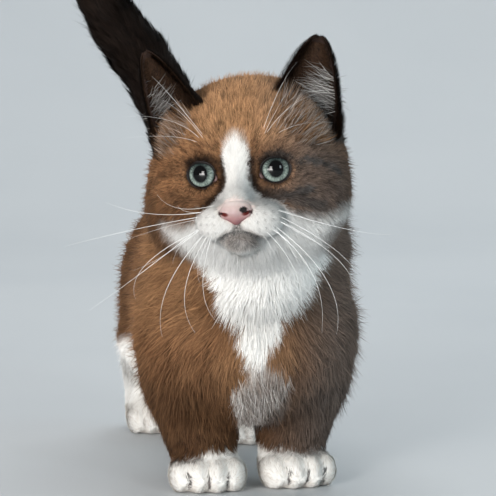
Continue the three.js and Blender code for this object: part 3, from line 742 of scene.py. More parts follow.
def marks(p):
    """White, dark, tan and grey shares of the coat at each place. Parts of the dark, tan and grey shares are
    painted light and shade, noted where they are made.
    """
    q = HEAD.inside(p)
    x, y, z = q.T
    px, py, pz = p.T
    out = np.abs(x)
    head = head_share_of(p, 3)
    body = 1 - head
    breast = ease(24, -8, py)
    foot = ear_front(q) * head
    strand = noise(p * [1, 1, 0.25], 2.4, 95)

    # Mouth and chin. The dark line of the mouth and the philtrum is partly dark lip skin and partly painted
    # shade in the creases; the grey along the mouth line and the dark just under it are painted shade.
    mouth = most(ease(1.9, 0.9, LIP_LINE(q)) * ease(9.5, 6, out), ease(1.3, 0.7, SPLIT(q)))
    over_lip = z - np.interp(out, *np.array(LIPS)[:, [0, 2]].T)
    by_lip = ease(4.2, 0.9, LIP_LINE(q)) * ease(10.5, 6, out)
    lip_shade = by_lip * np.where(over_lip > 0, 0.6, 0.95) * head
    from_chin = (np.abs(x - 0.5) ** 3 + np.abs((z + 27.6) * 1.9) ** 3) ** (1 / 3)
    fleck = np.clip(0.5 + 0.5 * noise(q, 1.3, 91), 0, 1)
    chin = ease(8.8, 4.8, from_chin) * 0.9 * ease(-22, -28, y) * (0.8 + 0.2 * fleck)
    near_spot = np.min([np.hypot(out - spot_x, z - spot_z) for spot_x, spot_z in SPOTS], 0)
    spots = ease(0.6, 0.3, near_spot) * ease(-20, -28, y) * head

    # dark cheeks, made darker on the kitten's left as painted shade of that side
    cheeks = ease(2, -18, z) * ease(8, 24, out) * (0.5 + 0.15 * ease(-2, 8, x))
    cheeks = most(cheeks, ease(4, 28, x) * ease(18, -2, z) * 0.6)
    ear_base = ease(20, 6, far((both(q) - [27, 4, 24]) * [1, 0.7, 1])) * 0.75
    # the fold at each ear's outer foot painted near-black: painted shade
    ear_base = most(ear_base * (1 - 0.7 * ear_front(q)), ear_pocket(q) * 0.97)
    dark_head = most(eye_mask(q), cheeks, ear_base, mouth)
    lower = ease(70, 34, pz) * ease(60, 30, py) * 0.6
    rear = ease(60, 130, py) * 0.35
    # painted shade: the body darker on the kitten's left, the side away from the key lamp
    far_side_shade = ease(0, 30, px) * (0.2 + 0.24 * breast)
    spine = ease(84, 112, pz) * ease(10, 40, py) * 0.4
    dark_body = most(tail_share_of(p), lower, rear, spine, far_side_shade, 0.12)
    rim = pale_rim(q) * head
    dark = blend(dark_body, dark_head, head)
    # painted shade just under the mouth line
    dark = most(dark, by_lip * ease(0.8, -0.4, over_lip) * 0.6 * head) * (1 - 0.6 * rim)

    brow = ease(4, 18, z) * ease(26, 10, y) * ease(32, 14, out) * (1 - 0.45 * ease(-4, -20, x))
    streaks = noise(q * [1, 0.25, 0.2], 3.4, 51) * 0.25
    sandy = most(
        ease(12, 3, far((p - [-11, -25, 52]) * [1, 0.4, 0.7])),
        ease(10, 3, far((p - [8, -27, 57]) * [1, 0.4, 0.8])),
    )
    # painted light: paler, warmer coat on the kitten's right shoulder, the side the key lamp faces
    near_side_light = ease(-10, -30, px) * ease(56, 80, pz) * ease(44, 10, py) * 0.28
    tan = (brow * 0.85 + streaks * 0.8) * head + most(sandy * 0.4, near_side_light) * body
    tan = most(tan + 0.16 + 0.16 * noise(p, 16, 21), foot * 0.7, rim * 0.45)

    # brown and grey hairs low on the chest between the forelegs, partly painted shade there
    low_patch = ease(-2, 2, 9 - np.hypot((px - 2) * 0.8, (pz - 38) * 0.6)) * ease(20, 4, py) * 0.9 * body
    # painted shade: the kitten's left side of head and body greyed, standing in for the dimmer, cooler light
    # on that side
    shade_side = ease(2, 30, x) * head * (0.12 + 0.16 * ease(6, -14, y))
    shade_side += ease(0, 34, px) * body * (0.14 + 0.24 * breast)
    silver = foot * np.clip(0.4 + 0.5 * noise(q, 2.2, 93), 0, 1)
    grey = most(
        chin * (1 - 0.45 * by_lip) * head, lip_shade * 0.6, spots, low_patch * 0.4, shade_side, silver * 0.7,
    )

    # painted shade in the toe clefts
    toes = slits(p) * body
    fringe = ease(56, 47, pz) * np.clip(0.5 + 0.8 * strand, 0, 1) * body
    fringe = fringe * ease(26, 14, py) * ease(24, 30, pz)
    coloured = most(
        mouth * head, chin * 1.08, lip_shade * 0.75, spots * 0.55, toes * 0.85, fringe,
        low_patch * np.clip(0.92 + 0.5 * strand, 0, 1),
    )
    white = np.minimum(blend(body_white(p), head_white(q), head), 1 - coloured)
    return np.clip(columns(white, most(dark, toes), tan, grey), 0, 1)


# The lie of the coat


def flow(p, normal):
    q = HEAD.inside(p)
    head_share, tail_share = head_share_of(p)[:, None], tail_share_of(p)[:, None]
    side = ease(10, 30, np.abs(q[:, 0]))
    drop = 0.5 * side * ease(14, 0, q[:, 2]) + 0.6 * ease(0, -25, q[:, 2])
    head = unit(q - HEAD_WAYS) + columns(0, 0.25, -drop)
    for root, tip, _ in EARS:
        head = blend(unit(head), unit(np.array(tip) - root) * 1.2, ease(20, 9, far(q - root))[:, None])
    off = off_eye(q)
    head = blend(unit(head), unit(off), ease(10, 6.5, far(off))[:, None])
    by_lips = ease(5, 2, np.minimum(LIP_LINE(q), SPLIT(q)))[:, None]
    head = blend(unit(head), unit(columns(np.sign(q[:, 0]), 0.6, -0.25)), by_lips)
    chest = ease(18, -14, p[:, 1])
    spread_out = np.clip(p[:, 0] / 20, -1, 1) * ease(48, 88, p[:, 2])
    fall = 0.30 + 0.75 * chest * (1 - 0.75 * np.abs(spread_out))
    body = columns(0.95 * spread_out * chest, 1.0 - 0.8 * chest, -fall)
    legs = blend(np.array([0, 0.12, -1.0]), np.array([0, -1.0, -0.25]), ease(16, 9, p[:, 2])[:, None])
    mid, way = (TAIL[1:, :3] + TAIL[:-1, :3]) / 2, unit(TAIL[1:, :3] - TAIL[:-1, :3])
    weight = np.exp(-np.linalg.norm(p[:, None] - mid[None], axis=2) / 6 + 3)
    tail = unit((weight[:, :, None] * way[None]).sum(1))
    way = blend(unit(body), legs, ease(48, 30, p[:, 2])[:, None])
    way = blend(blend(way, tail, tail_share), unit(HEAD.way(head)), head_share)
    swirl = np.stack([noise(p, 30, s) for s in (31, 32, 33)], 1) * 0.3
    curl = np.stack([noise(p, 9, s) for s in (34, 35, 36)], 1) * 0.2
    way = unit(way) + (swirl + curl) * (1 - 0.7 * head_share)
    return unit(way - (way * normal).sum(1, keepdims=True) * normal)


def hair_length(p):
    q = HEAD.inside(p)
    head_share, tail_share = head_share_of(p), tail_share_of(p)
    head = 1.6 + 7.5 * ease(6, 52, far(q - [0, -40, -14]))
    head += 4.5 * ease(20, 36, np.abs(q[:, 0])) * ease(2, -14, q[:, 2])
    head += 5 * ease(-22, -28, q[:, 2]) * ease(-34, -24, q[:, 1])
    head += 3.5 * ear_front(q)
    head = np.minimum(head, 1.1 + 8 * ease(8, 27, eye_gap(q)))
    head = np.minimum(head, 0.9 + 0.5 * np.maximum(nose_field(p), 0))
    head = np.minimum(head, 0.55 + 9 * ease(0.8, 10, np.minimum(LIP_LINE(q), SPLIT(q))))
    body = 3.1 + 8.5 * ease(10, 50, p[:, 2])
    body += 3.5 * ease(22, -10, p[:, 1]) * ease(24, 40, p[:, 2])
    return blend(blend(body, 11.0, tail_share), head, head_share)


# Tufts. Each is a thin blade that starts on the skin and bends over to lie in the coat.

STEPS = 2
PER = 2 * STEPS + 1


def strips(rows, side, width, normal, per_row=(0.8, 1.0)):
    """Blades along rows of points, each closed to a point at its tip"""
    verts = []
    for s in range(STEPS):
        half = (width * 0.5 * per_row[s])[:, None]
        verts += [rows[s] - side * half, rows[s] + side * half]
    verts.append(rows[STEPS])
    verts = np.stack(verts, 1).reshape(-1, 3)
    faces = [[0, 1, 3], [0, 3, 2], [2, 3, 4]]
    faces = (np.array(faces)[None] + PER * np.arange(len(width))[:, None, None]).reshape(-1, 3)
    return verts, faces, np.repeat(normal, PER, 0)


ALONG = np.array([0.0, 0.0, 0.55, 0.55, 1.0])


def tuft_uv(u, v):
    """A patch 0.003 across for each tuft at its root's place."""
    across = np.array([-1, 1, -1, 1, 0]) * 0.0013
    up = (ALONG - 0.5) * 0.003
    out = np.stack([u[:, None] + across, v[:, None] + up], -1).reshape(-1, 2)
    return np.clip(out, 0.0005, 0.9995)


def unwrap_round(x, y, low, high, v):
    turn = np.arctan2(x, y) / (2 * math.pi) + 0.5
    return 0.01 + 0.98 * turn, 0.01 + 0.98 * np.clip((v - low) / (high - low), 0, 1)


def scatter(verts, faces, weight, count):
    """Random places on the faces, more of them where the weight is larger."""
    a, b, c = (verts[faces[:, i]] for i in range(3))
    area = np.linalg.norm(np.cross(b - a, c - a), axis=1) / 2 * weight
    chance = np.cumsum(area)
    pick = np.searchsorted(chance, rng.uniform(0, chance[-1], count))
    r1, r2 = np.sqrt(rng.uniform(size=count)), rng.uniform(size=count)
    return pick, np.stack([1 - r1, r1 * (1 - r2), r1 * r2], 1)


def nearest(points, guides):
    tree = kdtree.KDTree(guides)
    for i, p in enumerate(points[:guides].tolist()):
        tree.insert(p, i)
    tree.balance()
    return np.array([tree.find(p)[1] for p in points.tolist()])


COAT = coat_material("coat")
TUFTS = 1.0


def coat_piece(name, rows, side, width, normal, mark, tone, uv):
    verts, faces, normals = strips(rows, side, width, normal)
    verts[:, 2] = np.maximum(verts[:, 2], 0.1)
    extra = np.repeat(np.clip(np.stack([tone, mark[:, 3]], 1), 0, 1), PER, 0)
    strand = np.concatenate([np.tile(ALONG, len(width))[:, None], extra], 1)
    piece = new_object(
        name, verts, faces, COAT, normals=normals, uv=tuft_uv(*uv),
        colours={"mark": np.repeat(mark[:, :3], PER, 0), "strand": strand},
    )
    print(name, len(faces))
    return piece


# Skin

FINE, COARSE = ((0.8, 1.8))
GRID = [
    spaced(-58, 56, [(-46, 40)], FINE, COARSE), spaced(-82, 196, [(-80, -38), (-17, -9)], FINE, COARSE),
    spaced(-3, 246, [(-2, 14), (96, 152)], FINE, COARSE),
]
skin_verts, skin_quads = surface_net(skin_level, GRID, 4 * COARSE)
skin_verts[:, 2] = np.maximum(skin_verts[:, 2], 0.25)
skin_faces = np.concatenate([skin_quads[:, [0, 1, 2]], skin_quads[:, [0, 2, 3]]])
skin_normals = unit(gradient(WHOLE, skin_verts, 0.3))
depth = coat_depth(skin_verts)
lengths = hair_length(skin_verts)
rises = ear_front(HEAD.inside(skin_verts)) * 2.6 * head_share_of(skin_verts)
ways = flow(skin_verts, skin_normals)
skin_marks = marks(skin_verts + ways * lengths[:, None] * 0.5)
head_q = HEAD.inside(skin_verts)
above = ease(-17, -13.5, head_q[:, 2])
nose_gap = nose_field(skin_verts)
to_lips = np.minimum(LIP_LINE(head_q), SPLIT(head_q))
to_nostril = NOSTRIL(head_q)
by_eye = ease(10.4, 9.7, eye_gap(head_q)) * 0.8
# dark bare skin of the mouth and lids, also painted shade in the toe clefts and beside the nostrils
bare = most(ease(1.7, 1.0, to_lips), by_eye, slits(skin_verts), ease(2.4, 1.4, to_nostril))
pink = most(above * ease(10, 2, nose_gap), ease(2.5, 0.5, nose_gap))
print("skin", len(skin_verts), len(skin_faces))

skin = new_object(
    "skin", skin_verts, skin_quads, skin_material(),
    colours={"mark": skin_marks[:, :3], "strand": np.stack([bare, pink, bare], 1)},
)
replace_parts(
    skin, "head", "neck", "torso", "foreleg_left", "foreleg_right", "forepaw_left", "forepaw_right",
    "hindleg_left", "hindleg_right", "hindpaw_left", "hindpaw_right", "tail_base", "tail_tip",
)

# Coat, in pieces that each keep to one part of the body

is_head = FACE(skin_verts) < BODY(skin_verts) - 1
is_tail = TAIL_FIELD(skin_verts) < TORSO(skin_verts) - 1
is_leg = (skin_verts[:, 2] < 34) & ~is_head
front = is_head & (head_q[:, 1] < -8)
furry = ease(8.9, 9.3, eye_gap(head_q)) * ease(0.1, 0.8 + 2.2 * above, nose_gap) * ease(1.0, 1.8, to_lips)
furry *= (1 - slits(skin_verts)) * ease(1.2, 2.0, to_nostril)
furry *= np.where((skin_verts[:, 2] < 0.6) & ~is_head, 0.0, 1.0)


def head_chart(p):
    q = HEAD.inside(p) - [0, 4, 0]
    height = np.degrees(np.arctan2(q[:, 2], np.hypot(q[:, 0], q[:, 1])))
    return unwrap_round(q[:, 0], -q[:, 1], -90, 90, height)


def trunk_chart(p):
    return unwrap_round(p[:, 0], p[:, 2] - 66, -60, 200, p[:, 1])


def leg_chart(p):
    feet = np.array([paw[:2] for _, paw, _ in FORELEGS + HINDLEGS])
    which = np.argmin(np.linalg.norm(p[:, None, :2] - feet[None], axis=2), 1)
    u, v = unwrap_round(p[:, 0] - feet[which, 0], p[:, 1] - feet[which, 1], -1, 40, p[:, 2])
    return (u + which) / 4, v


def tail_chart(p):
    spot = np.argmin(np.linalg.norm(p[:, None] - TAIL[None, :, :3], axis=2), 1)
    off = p - TAIL[spot, :3]
    return unwrap_round(off[:, 0], off[:, 1], 90, 250, p[:, 2])


def fur(
    name, chosen, count, width, chart, clump=24, pull=0.45, field=WHOLE, loose=0.04, streaks=0.0, flat=1.4,
):
    """A coat piece over the chosen skin. The tufts of a clump are pulled together and a few stand loose.
    Streaks are stripes of tone on the head. The higher flat is, the sooner a tuft reaches the outline."""
    count = int(count * TUFTS)
    weight = (chosen * furry)[skin_faces].mean(1) / (lengths[skin_faces].mean(1) + 1.2)
    pick, share = scatter(skin_verts, skin_faces, weight, count)
    spread = lambda values: np.einsum("nk,nk...->n...", share, values[skin_faces[pick]])
    root, normal, deep = spread(skin_verts), unit(spread(skin_normals)), spread(depth)
    guide = nearest(root, max(count // clump, 8))
    top = rng.uniform(size=count) < 0.2
    stray = rng.uniform(size=count) < loose

    scatter_way = np.where(stray, 0.3, 0.09)[:, None] * rng.normal(size=(count, 3))
    way = unit(spread(ways) + scatter_way + rng.normal(0, 0.12, (count, 3))[guide])
    way = unit(way - (way * normal).sum(1, keepdims=True) * normal)
    long = spread(lengths) * rng.uniform(0.75, 1.15, count) * rng.uniform(0.85, 1.15, count)[guide]
    long = long * np.where(top, 1.15, 1)
    wide = width * (0.5 + 0.045 * long) * rng.uniform(0.7, 1.3, count) * np.where(top, 1.2, 1.0)
    pale = marks(root)[:, 0]
    loft = rng.normal(0, 0.11, count) + rng.normal(0, 0.24, count)[guide] * (1 - 0.7 * pale)
    loft = (loft + np.where(top, 0.55, -0.1)) * (1 - 0.6 * pale * ease(30, 60, root[:, 2]))
    lift = loft * (0.2 + 0.07 * long) + spread(rises) * rng.uniform(0.3, 1.3, count)
    lift = np.where(stray, np.abs(lift) + rng.uniform(0.08, 0.3, count) * long, lift)
    wide = np.where(stray, wide * 0.55, wide)

    side = unit(np.cross(way, normal))
    rows = [root]
    for s in range(1, STEPS + 1):
        t = s / STEPS
        place = rows[-1] + way * (long / STEPS)[:, None]
        level = -deep * (1 - t) ** flat + lift * t * t
        place = place - normal * (field(place.astype(np.float32)) - level)[:, None]
        way = unit(place - rows[-1])
        rows.append(place)
    hold = pull * (ease(6, 2, far(root - root[guide])) * ~stray * (1 - 0.75 * pale))[:, None]
    rows = [p + (p[guide] - p) * hold * (s / STEPS) ** 1.5 for s, p in enumerate(rows)]

    mark = marks(rows[1] * 0.6 + rows[2] * 0.4 + rng.normal(0, 0.3, (count, 3)))
    tone = np.where(top, 0.56, 0.42) + np.where(top, 0.24, 0.11) * rng.normal(size=count)
    tone += 0.09 * rng.normal(size=count)[guide] + 0.1 * noise(root, 5, 77) + 0.16 * stray
    q, head = HEAD.inside(root), head_share_of(root)
    if streaks:
        off = q - HEAD_WAYS
        tone += streaks * noise(unit(off * [1, 0, 1]) * 34 + [0, 0.1, 0] * far(off)[:, None], 1.4, 71)
    # White hair keeps to an even tone, a little lower on the head and lower still on the muzzle and the bridge
    # of the nose. This is painted shade, evening out how brightly the lamps light the face against the chest;
    # on the muzzle it also stands for skin showing through the short hair.
    muzzle = ease(-5, -12, q[:, 2]) * ease(-20, -30, q[:, 1]) * head
    bridge = ease(12, 5, far((q - [0, -38, -14]) * [0.8, 1, 1])) * ease(-17, -13, q[:, 2])
    even = 0.95 - 0.18 * head - 0.27 * muzzle - 0.3 * bridge + (0.2 + 0.1 * head) * (tone - 0.5)
    tone = blend(tone, even, mark[:, 0])
    normal = unit(normal + rng.normal(0, 0.16, (count, 3)) * (1 - 0.5 * pale)[:, None])
    return coat_piece(name, rows, side, wide, normal, mark, tone, chart(root))


trunk = ~is_head & ~is_tail & ~is_leg
behind = trunk & (skin_verts[:, 1] >= 16)
lower_face, on_left = head_q[:, 2] < -6, skin_verts[:, 0] >= 0
fur("fur_face_lower", front & lower_face, 62000, 0.3, head_chart, 14, 0.14, DRAPE, 0.03, 0.36)
fur("fur_face_upper", front & ~lower_face, 60000, 0.32, head_chart, 14, 0.14, FACE, 0.05, 0.42)
fur("fur_head_back", is_head & ~front, 60000, 0.37, head_chart, 20, 0.2, DRAPE, 0.08, 0.3, 2.2)
fur("fur_chest", trunk & ~behind, 62000, 0.32, trunk_chart, 16, 0.22, DRAPE, 0.12)
for side, chosen in (("left", behind & on_left), ("right", behind & ~on_left)):
    fur("fur_side_" + side, chosen, 56000, 0.41, trunk_chart, 20, 0.28, WHOLE, 0.1, flat=3.0)
fur("fur_legs", is_leg, 60000, 0.4, leg_chart, 12, 0.22, WHOLE, 0.08)
fur("fur_tail", is_tail, 36000, 0.42, tail_chart)


# Ears: a cupped shell, with fur on both faces and long pale hairs from the outer edge


class Ear:
    def __init__(self, root, tip, way):
        root, tip, way = (np.array(v, float) for v in (root, tip, way))
        self.up = unit(tip - root)
        self.reach = float(np.linalg.norm(tip - root)) + 6
        self.out = unit(way - way @ self.up * self.up)
        self.across = np.cross(self.up, self.out)
        self.base = root - self.up * 6

    def at(self, v, angle, inset):
        """A place on the shell: v from base to tip, an angle round the cup, a depth under its back"""
        clear = np.minimum(v, 1)
        inset = inset * (1 - 0.55 * ease(0.7, 1, np.abs(angle) / EAR_WRAP))
        foot = 0.84 + 0.16 * np.minimum(clear / 0.35, 1)
        wide = (EAR_HALF_WIDTH - inset) * (1 - clear) ** 0.58 * foot + 1.0 - inset * 0.3
        deep = (EAR_CUP - inset) * (1 - clear) ** 0.8 + 1.2 * (1 - clear) + 0.4
        height = v * (self.reach - inset * clear)
        side = np.sin(angle) / math.sin(EAR_WRAP) * wide
        back = deep * np.cos(angle)
        place = self.base + self.up * height[:, None] + self.across * side[:, None] - self.out * back[:, None]
        return HEAD.outside(place)

    def outward(self, angle):
        return HEAD.way(self.across * np.sin(angle)[:, None] - self.out * np.cos(angle)[:, None])


def ear_shell(ear, rows=44, steps=40):
    """Back and inside of the cup at each height, as one ring, closed by strips at the tip"""
    angle = np.linspace(-EAR_WRAP, EAR_WRAP, steps + 1)
    verts = []
    for r in range(rows + 1):
        v = np.full(steps + 1, min(1 - (1 - r / rows) ** 1.7, 0.9995))
        verts.append(np.concatenate([ear.at(v, angle, 0.5), ear.at(v, angle[::-1], 1.9)]))
    around = 2 * (steps + 1)
    a = rows * around + np.arange(steps)
    d = rows * around + around - 1 - np.arange(steps)
    tip = np.stack([a + 1, a, d, d - 1], 1)
    return np.concatenate(verts), np.concatenate([lattice(rows + 1, around)[:, ::-1], tip])


def ear_coat(ear, outer, inner):
    """Short fur over the back or the inside of an ear"""
    count = int((9500 if inner else 12500) * TUFTS)
    v = np.minimum(1 - (1 - rng.uniform(0, 0.98, count)) ** 0.75, 0.985)
    angle = rng.uniform(-EAR_WRAP, EAR_WRAP, count)
    on_edge = rng.uniform(size=count) < 0.22
    angle = np.where(on_edge, np.sign(angle) * EAR_WRAP * rng.uniform(0.94, 1, count), angle)
    edge = np.abs(angle) > 0.93 * EAR_WRAP
    length = rng.uniform(1.8, 3.4, count) * (1 + 1.2 * ease(0.35, 0.1, v))
    if inner:
        climb, turn = length * 0.35, -outer * length * 0.9
    else:
        climb, turn = length, rng.normal(0, 0.25, count) * length
    climb, turn = np.where(edge, length * 0.8, climb), np.where(edge, np.sign(angle) * 0.2 * length, turn)
    spin = turn / (EAR_HALF_WIDTH * np.sqrt(1 - v) + 2)
    rise = np.abs(rng.normal(0.55, 0.25, count))
    away = ear.outward(angle) * (-1 if inner else 1)
    splay = (np.sign(angle) * edge * length * 0.5 * ease(0.95, 0.7, v))[:, None] * HEAD.way(ear.across[None])
    rows = []
    for s in range(STEPS + 1):
        t = s / STEPS
        bent = np.clip(angle + spin * t, -EAR_WRAP, EAR_WRAP)
        place = ear.at(v + climb * t / ear.reach, bent, 1.9 if inner else 0.5)
        rows.append(place + away * (rise * t)[:, None] + splay * t)
    tone = 0.45 + 0.2 * rng.normal(size=count) + 0.1 * inner
    dark = np.clip(0.92 + 0.08 * ease(0.08, 0.3, v) - 0.1 * inner, 0, 1)
    return rows, away, 0.36, columns(0, dark, 0.15, 0), tone, v, angle


def ear_hairs(ear, outer, full, fringe):
    """Long pale hairs from the outer edge across the cup, or shorter ones past that edge"""
    count = int((70 if fringe else 190) * full)
    v = np.clip(rng.normal(0.46, 0.1, count), 0.2, 0.75)
    angle = outer * rng.uniform(1.1, 1.5, count)
    inward = rng.uniform(0.9, 1.1, count)
    length = rng.uniform(6, 20, count) * (1.25 - 0.8 * v)
    if fringe:
        inward, length = -0.9 * inward, length * 0.4
    way = -ear.across * outer * inward[:, None] + ear.up * rng.normal(0.05, 0.2, count)[:, None]
    way = unit(HEAD.way(way + ear.out * rng.uniform(0.05, 0.35, count)[:, None]))
    start = ear.at(v, angle, 1.7)
    bend = HEAD.way(ear.up[None]) * (length * rng.normal(-0.02, 0.12, count))[:, None]
    rows = [start, start + way * (length * 0.5)[:, None], start + way * length[:, None] + bend]
    mark = columns(rng.uniform(0, 1, count) ** 3 * 0.8 * full, 0.35, 0.2, 0.8)
    normal = np.repeat(HEAD.way(ear.out[None]), count, 0)
    return rows, normal, 0.17, mark, 0.45 + 0.28 * rng.normal(size=count), v, angle


def ear_foot(outer, full):
    """Tufts at the front of the ear's foot, that sweep outwards across the cup"""
    count = int(2400 * TUFTS)
    weight = (ear_front(head_q) * (head_q[:, 0] * outer > 0))[skin_faces].mean(1)
    pick, share = scatter(skin_verts, skin_faces, weight, count)
    start = np.einsum("nk,nkj->nj", share, skin_verts[skin_faces[pick]])
    normal = unit(np.einsum("nk,nkj->nj", share, skin_normals[skin_faces[pick]]))
    length = rng.uniform(4, 12, count)
    way = np.array([outer * 0.8, 0.1, 0.75]) + rng.normal(0, 0.16, (count, 3))
    way = HEAD.way(way + rng.normal(0, 0.2, (60, 3))[nearest(start, 60)])
    way = unit(way - 0.3 * normal * (way * normal).sum(1, keepdims=True))
    rise = rng.uniform(0.08, 0.32, count) * length
    middle = way * (length * 0.5)[:, None] + normal * (rise * 0.8)[:, None]
    tip = way * length[:, None] + normal * rise[:, None]
    cut = 1 - 0.7 * ear_pocket(HEAD.inside(start + tip) - np.array([4.5 * outer, 0, 2.5]))[:, None]
    pale = rng.uniform(size=count)
    mark = columns(pale**4 * 0.5 * full, 0.35 * (pale < 0.4), 0.3 + 0.6 * pale, 0.45 * (pale > 0.5))
    tone = 0.5 + 0.2 * rng.normal(size=count)
    share_up = np.clip(HEAD.inside(start)[:, 2] / 60, 0, 1)
    return [start, start + middle * cut, start + tip * cut], normal, 0.22, mark, tone, share_up, 0 * share_up


def ear_parts(ears):
    """Each part of the ears' fur, with the quarter of the unwrap that it belongs to"""
    for k, ear in enumerate(ears):
        outer, full = ((1, 1.0), (-1, 0.45))[k]
        yield 2 * k, ear_coat(ear, outer, False)
        yield 2 * k + 1, ear_coat(ear, outer, True)
        yield 2 * k + 1, ear_hairs(ear, outer, full, False)
        yield 2 * k + 1, ear_hairs(ear, outer, full, True)
        yield 2 * k, ear_foot(outer, full)


def ear_fur(name, ears):
    parts = []
    for quarter, (rows, normal, width, mark, tone, v, angle) in ear_parts(ears):
        u = 0.01 + 0.23 * (angle / EAR_WRAP + 1) / 2 + 0.25 * quarter
        width = width * rng.uniform(0.7, 1.3, len(v))
        parts.append((*rows, normal, width, mark, tone, u, 0.02 + 0.96 * v))
    *rows, normal, width, mark, tone, u, v = (np.concatenate(values) for values in zip(*parts))
    side = unit(np.cross(rows[-1] - rows[0], normal))
    normal = unit(normal + rng.normal(0, 0.15, normal.shape))
    return coat_piece(name, rows, side, width, normal, mark, tone, (u, v))


def ear_skin_material():
    n = Nodes("ear_skin")
    n.base(n.mottle(300.0, tint(26, 18, 15), tint(48, 36, 31)))
    n.bump(n.noise(1500.0), 0.3, 0.0003)
    n.set(Roughness=0.9, Specular_IOR_Level=0.1)
    return n.material


EAR_SHAPES = [Ear(*values) for values in EARS]
EAR_SKIN = ear_skin_material()
for side, ear in zip(("left", "right"), EAR_SHAPES):
    verts, faces = ear_shell(ear)
    shell = new_object("ear_shell_" + side, verts, faces, EAR_SKIN)
    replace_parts(shell, "ear_" + side)
ear_fur("fur_ears", EAR_SHAPES)


# Eyes


def eye_material():
    """The eye's own frame has its axis along -y and its middle at the origin, in metres."""
    n = Nodes("eye")
    place = n.add("ShaderNodeTexCoord")
    split = n.add("ShaderNodeSeparateXYZ")
    n.join(place.outputs["Object"], split.inputs[0])
    x, y, z = split.outputs
    radius = n.math("SQRT", n.math("ADD", n.math("MULTIPLY", x, x), n.math("MULTIPLY", z, z)))
    share = n.math("MULTIPLY", radius, 1000 / IRIS_RADIUS)
    streaks = n.add("ShaderNodeTexNoise", noise_dimensions="2D")
    where = n.add("ShaderNodeCombineXYZ")
    n.join(n.math("MULTIPLY", n.math("ARCTAN2", x, z), 5.0), where.inputs[0])
    n.join(n.math("MULTIPLY", share, 1.6), where.inputs[1])
    n.join(where.outputs[0], streaks.inputs["Vector"])
    streaks.inputs["Scale"].default_value = 2.0
    streaks.inputs["Detail"].default_value = 4.0
    edge = n.math("ADD", share, n.math("MULTIPLY_ADD", streaks.outputs["Fac"], 0.08, -0.04))
    iris = n.ramp(edge, [
        (0.45, tint(48, 55, 56)), (0.60, tint(94, 104, 100)), (0.75, tint(136, 147, 141)),
        (0.86, tint(112, 123, 120)), (0.92, tint(56, 62, 60)), (0.97, tint(7, 7, 7)),
    ])
    fibre = n.ramp(streaks.outputs["Fac"], [(0.32, (0.38, 0.42, 0.42, 1)), (0.68, (1.4, 1.4, 1.36, 1))])
    iris = n.mix(1.0, iris, fibre, "MULTIPLY")
    low = n.math("MULTIPLY", z, 0.86)
    oval = n.math("SQRT", n.math("ADD", n.math("MULTIPLY", x, x), n.math("MULTIPLY", low, low)))
    pupil = n.ramp(n.math("MULTIPLY", oval, 1000 / IRIS_RADIUS), [(0.47, (0, 0, 0, 1)), (0.55, (1, 1, 1, 1))])
    iris = n.mix(pupil, tint(2, 2, 3), iris)
    # painted shadow of the upper lid over the top of the iris
    shade = n.ramp(n.math("MULTIPLY_ADD", z, 90.0, 0.5), [(0.5, (1, 1, 1, 1)), (0.84, (0.08, 0.1, 0.11, 1))])
    iris = n.mix(1.0, iris, shade, "MULTIPLY")
    white = n.mix(n.math("GREATER_THAN", share, 1.22), tint(10, 8, 8), tint(120, 84, 78))
    eye = n.mix(n.math("LESS_THAN", share, 1.0), white, iris)
    n.base(n.mix(n.math("GREATER_THAN", y, 0.0), eye, tint(150, 120, 112)))
    n.set(Roughness=0.5, Specular_IOR_Level=0.0, Coat_Weight=1.0, Coat_Roughness=0.02, Coat_IOR=1.34)
    return n.material


def make_eye(name, sign, material, rings=40, around=72):
    a = np.linspace(0, math.pi, rings + 1)[1:-1, None]
    b = np.linspace(0, 2 * math.pi, around, endpoint=False)
    ring = np.stack(np.broadcast_arrays(np.sin(a) * np.cos(b), -np.cos(a), np.sin(a) * np.sin(b)), -1)
    verts = np.concatenate([[[0, -1, 0]], ring.reshape(-1, 3), [[0, 1, 0]]]) * EYE_RADIUS
    off = np.hypot(verts[:, 0], verts[:, 2])
    verts[:, 1] += 0.1 - 0.4 * np.maximum(1 - (off / 6.6) ** 2, 0) * (verts[:, 1] < 0)
    last, base = len(verts) - 1, len(verts) - 1 - around
    faces = (lattice(rings - 1, around)[:, ::-1] + 1).tolist()
    for c in range(around):
        d = (c + 1) % around
        faces += [[0, 1 + c, 1 + d], [base + c, last, base + d]]
    mesh = bpy.data.meshes.new(name)
    mesh.from_pydata((verts * 0.001).tolist(), [], faces)
    mesh.polygons.foreach_set("use_smooth", [True] * len(faces))
    mesh.materials.append(material)
    eye = show(name, mesh)
    centre = HEAD.outside([[sign * EYE[0], EYE[1], EYE[2]]])[0]
    turn = Matrix(HEAD.turn.tolist()) @ Matrix.Rotation(sign * EYE_TURN, 3, "Z")
    eye.matrix_world = Matrix.Translation(Vector(row(centre))) @ turn.to_4x4()
    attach(eye, "root")
    return eye


EYE_SKIN = eye_material()
for side, sign in (("left", 1), ("right", -1)):
    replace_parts(make_eye("globe_" + side, sign, EYE_SKIN), "eye_" + side)


# Lids: a dark rolled rim round each opening, drawn out a little at the inner corner


INNER_CORNER = math.radians(202)


def lid_opening(angle):
    """Half the opening seen from the globe's middle; angles count from the side away from the nose, upwards"""
    opening = 34.4 + 2.9 * np.abs(np.cos(angle - math.radians(12))) ** 1.5
    inner = np.maximum(np.cos(angle - INNER_CORNER), 0) ** 30 * 4.5
    outer = np.maximum(np.cos(angle - math.radians(30)), 0) ** 14 * 2.2
    upper = np.maximum(np.sin(angle), 0) ** 1.6 * 6.1
    return np.radians(opening + inner + outer - upper)


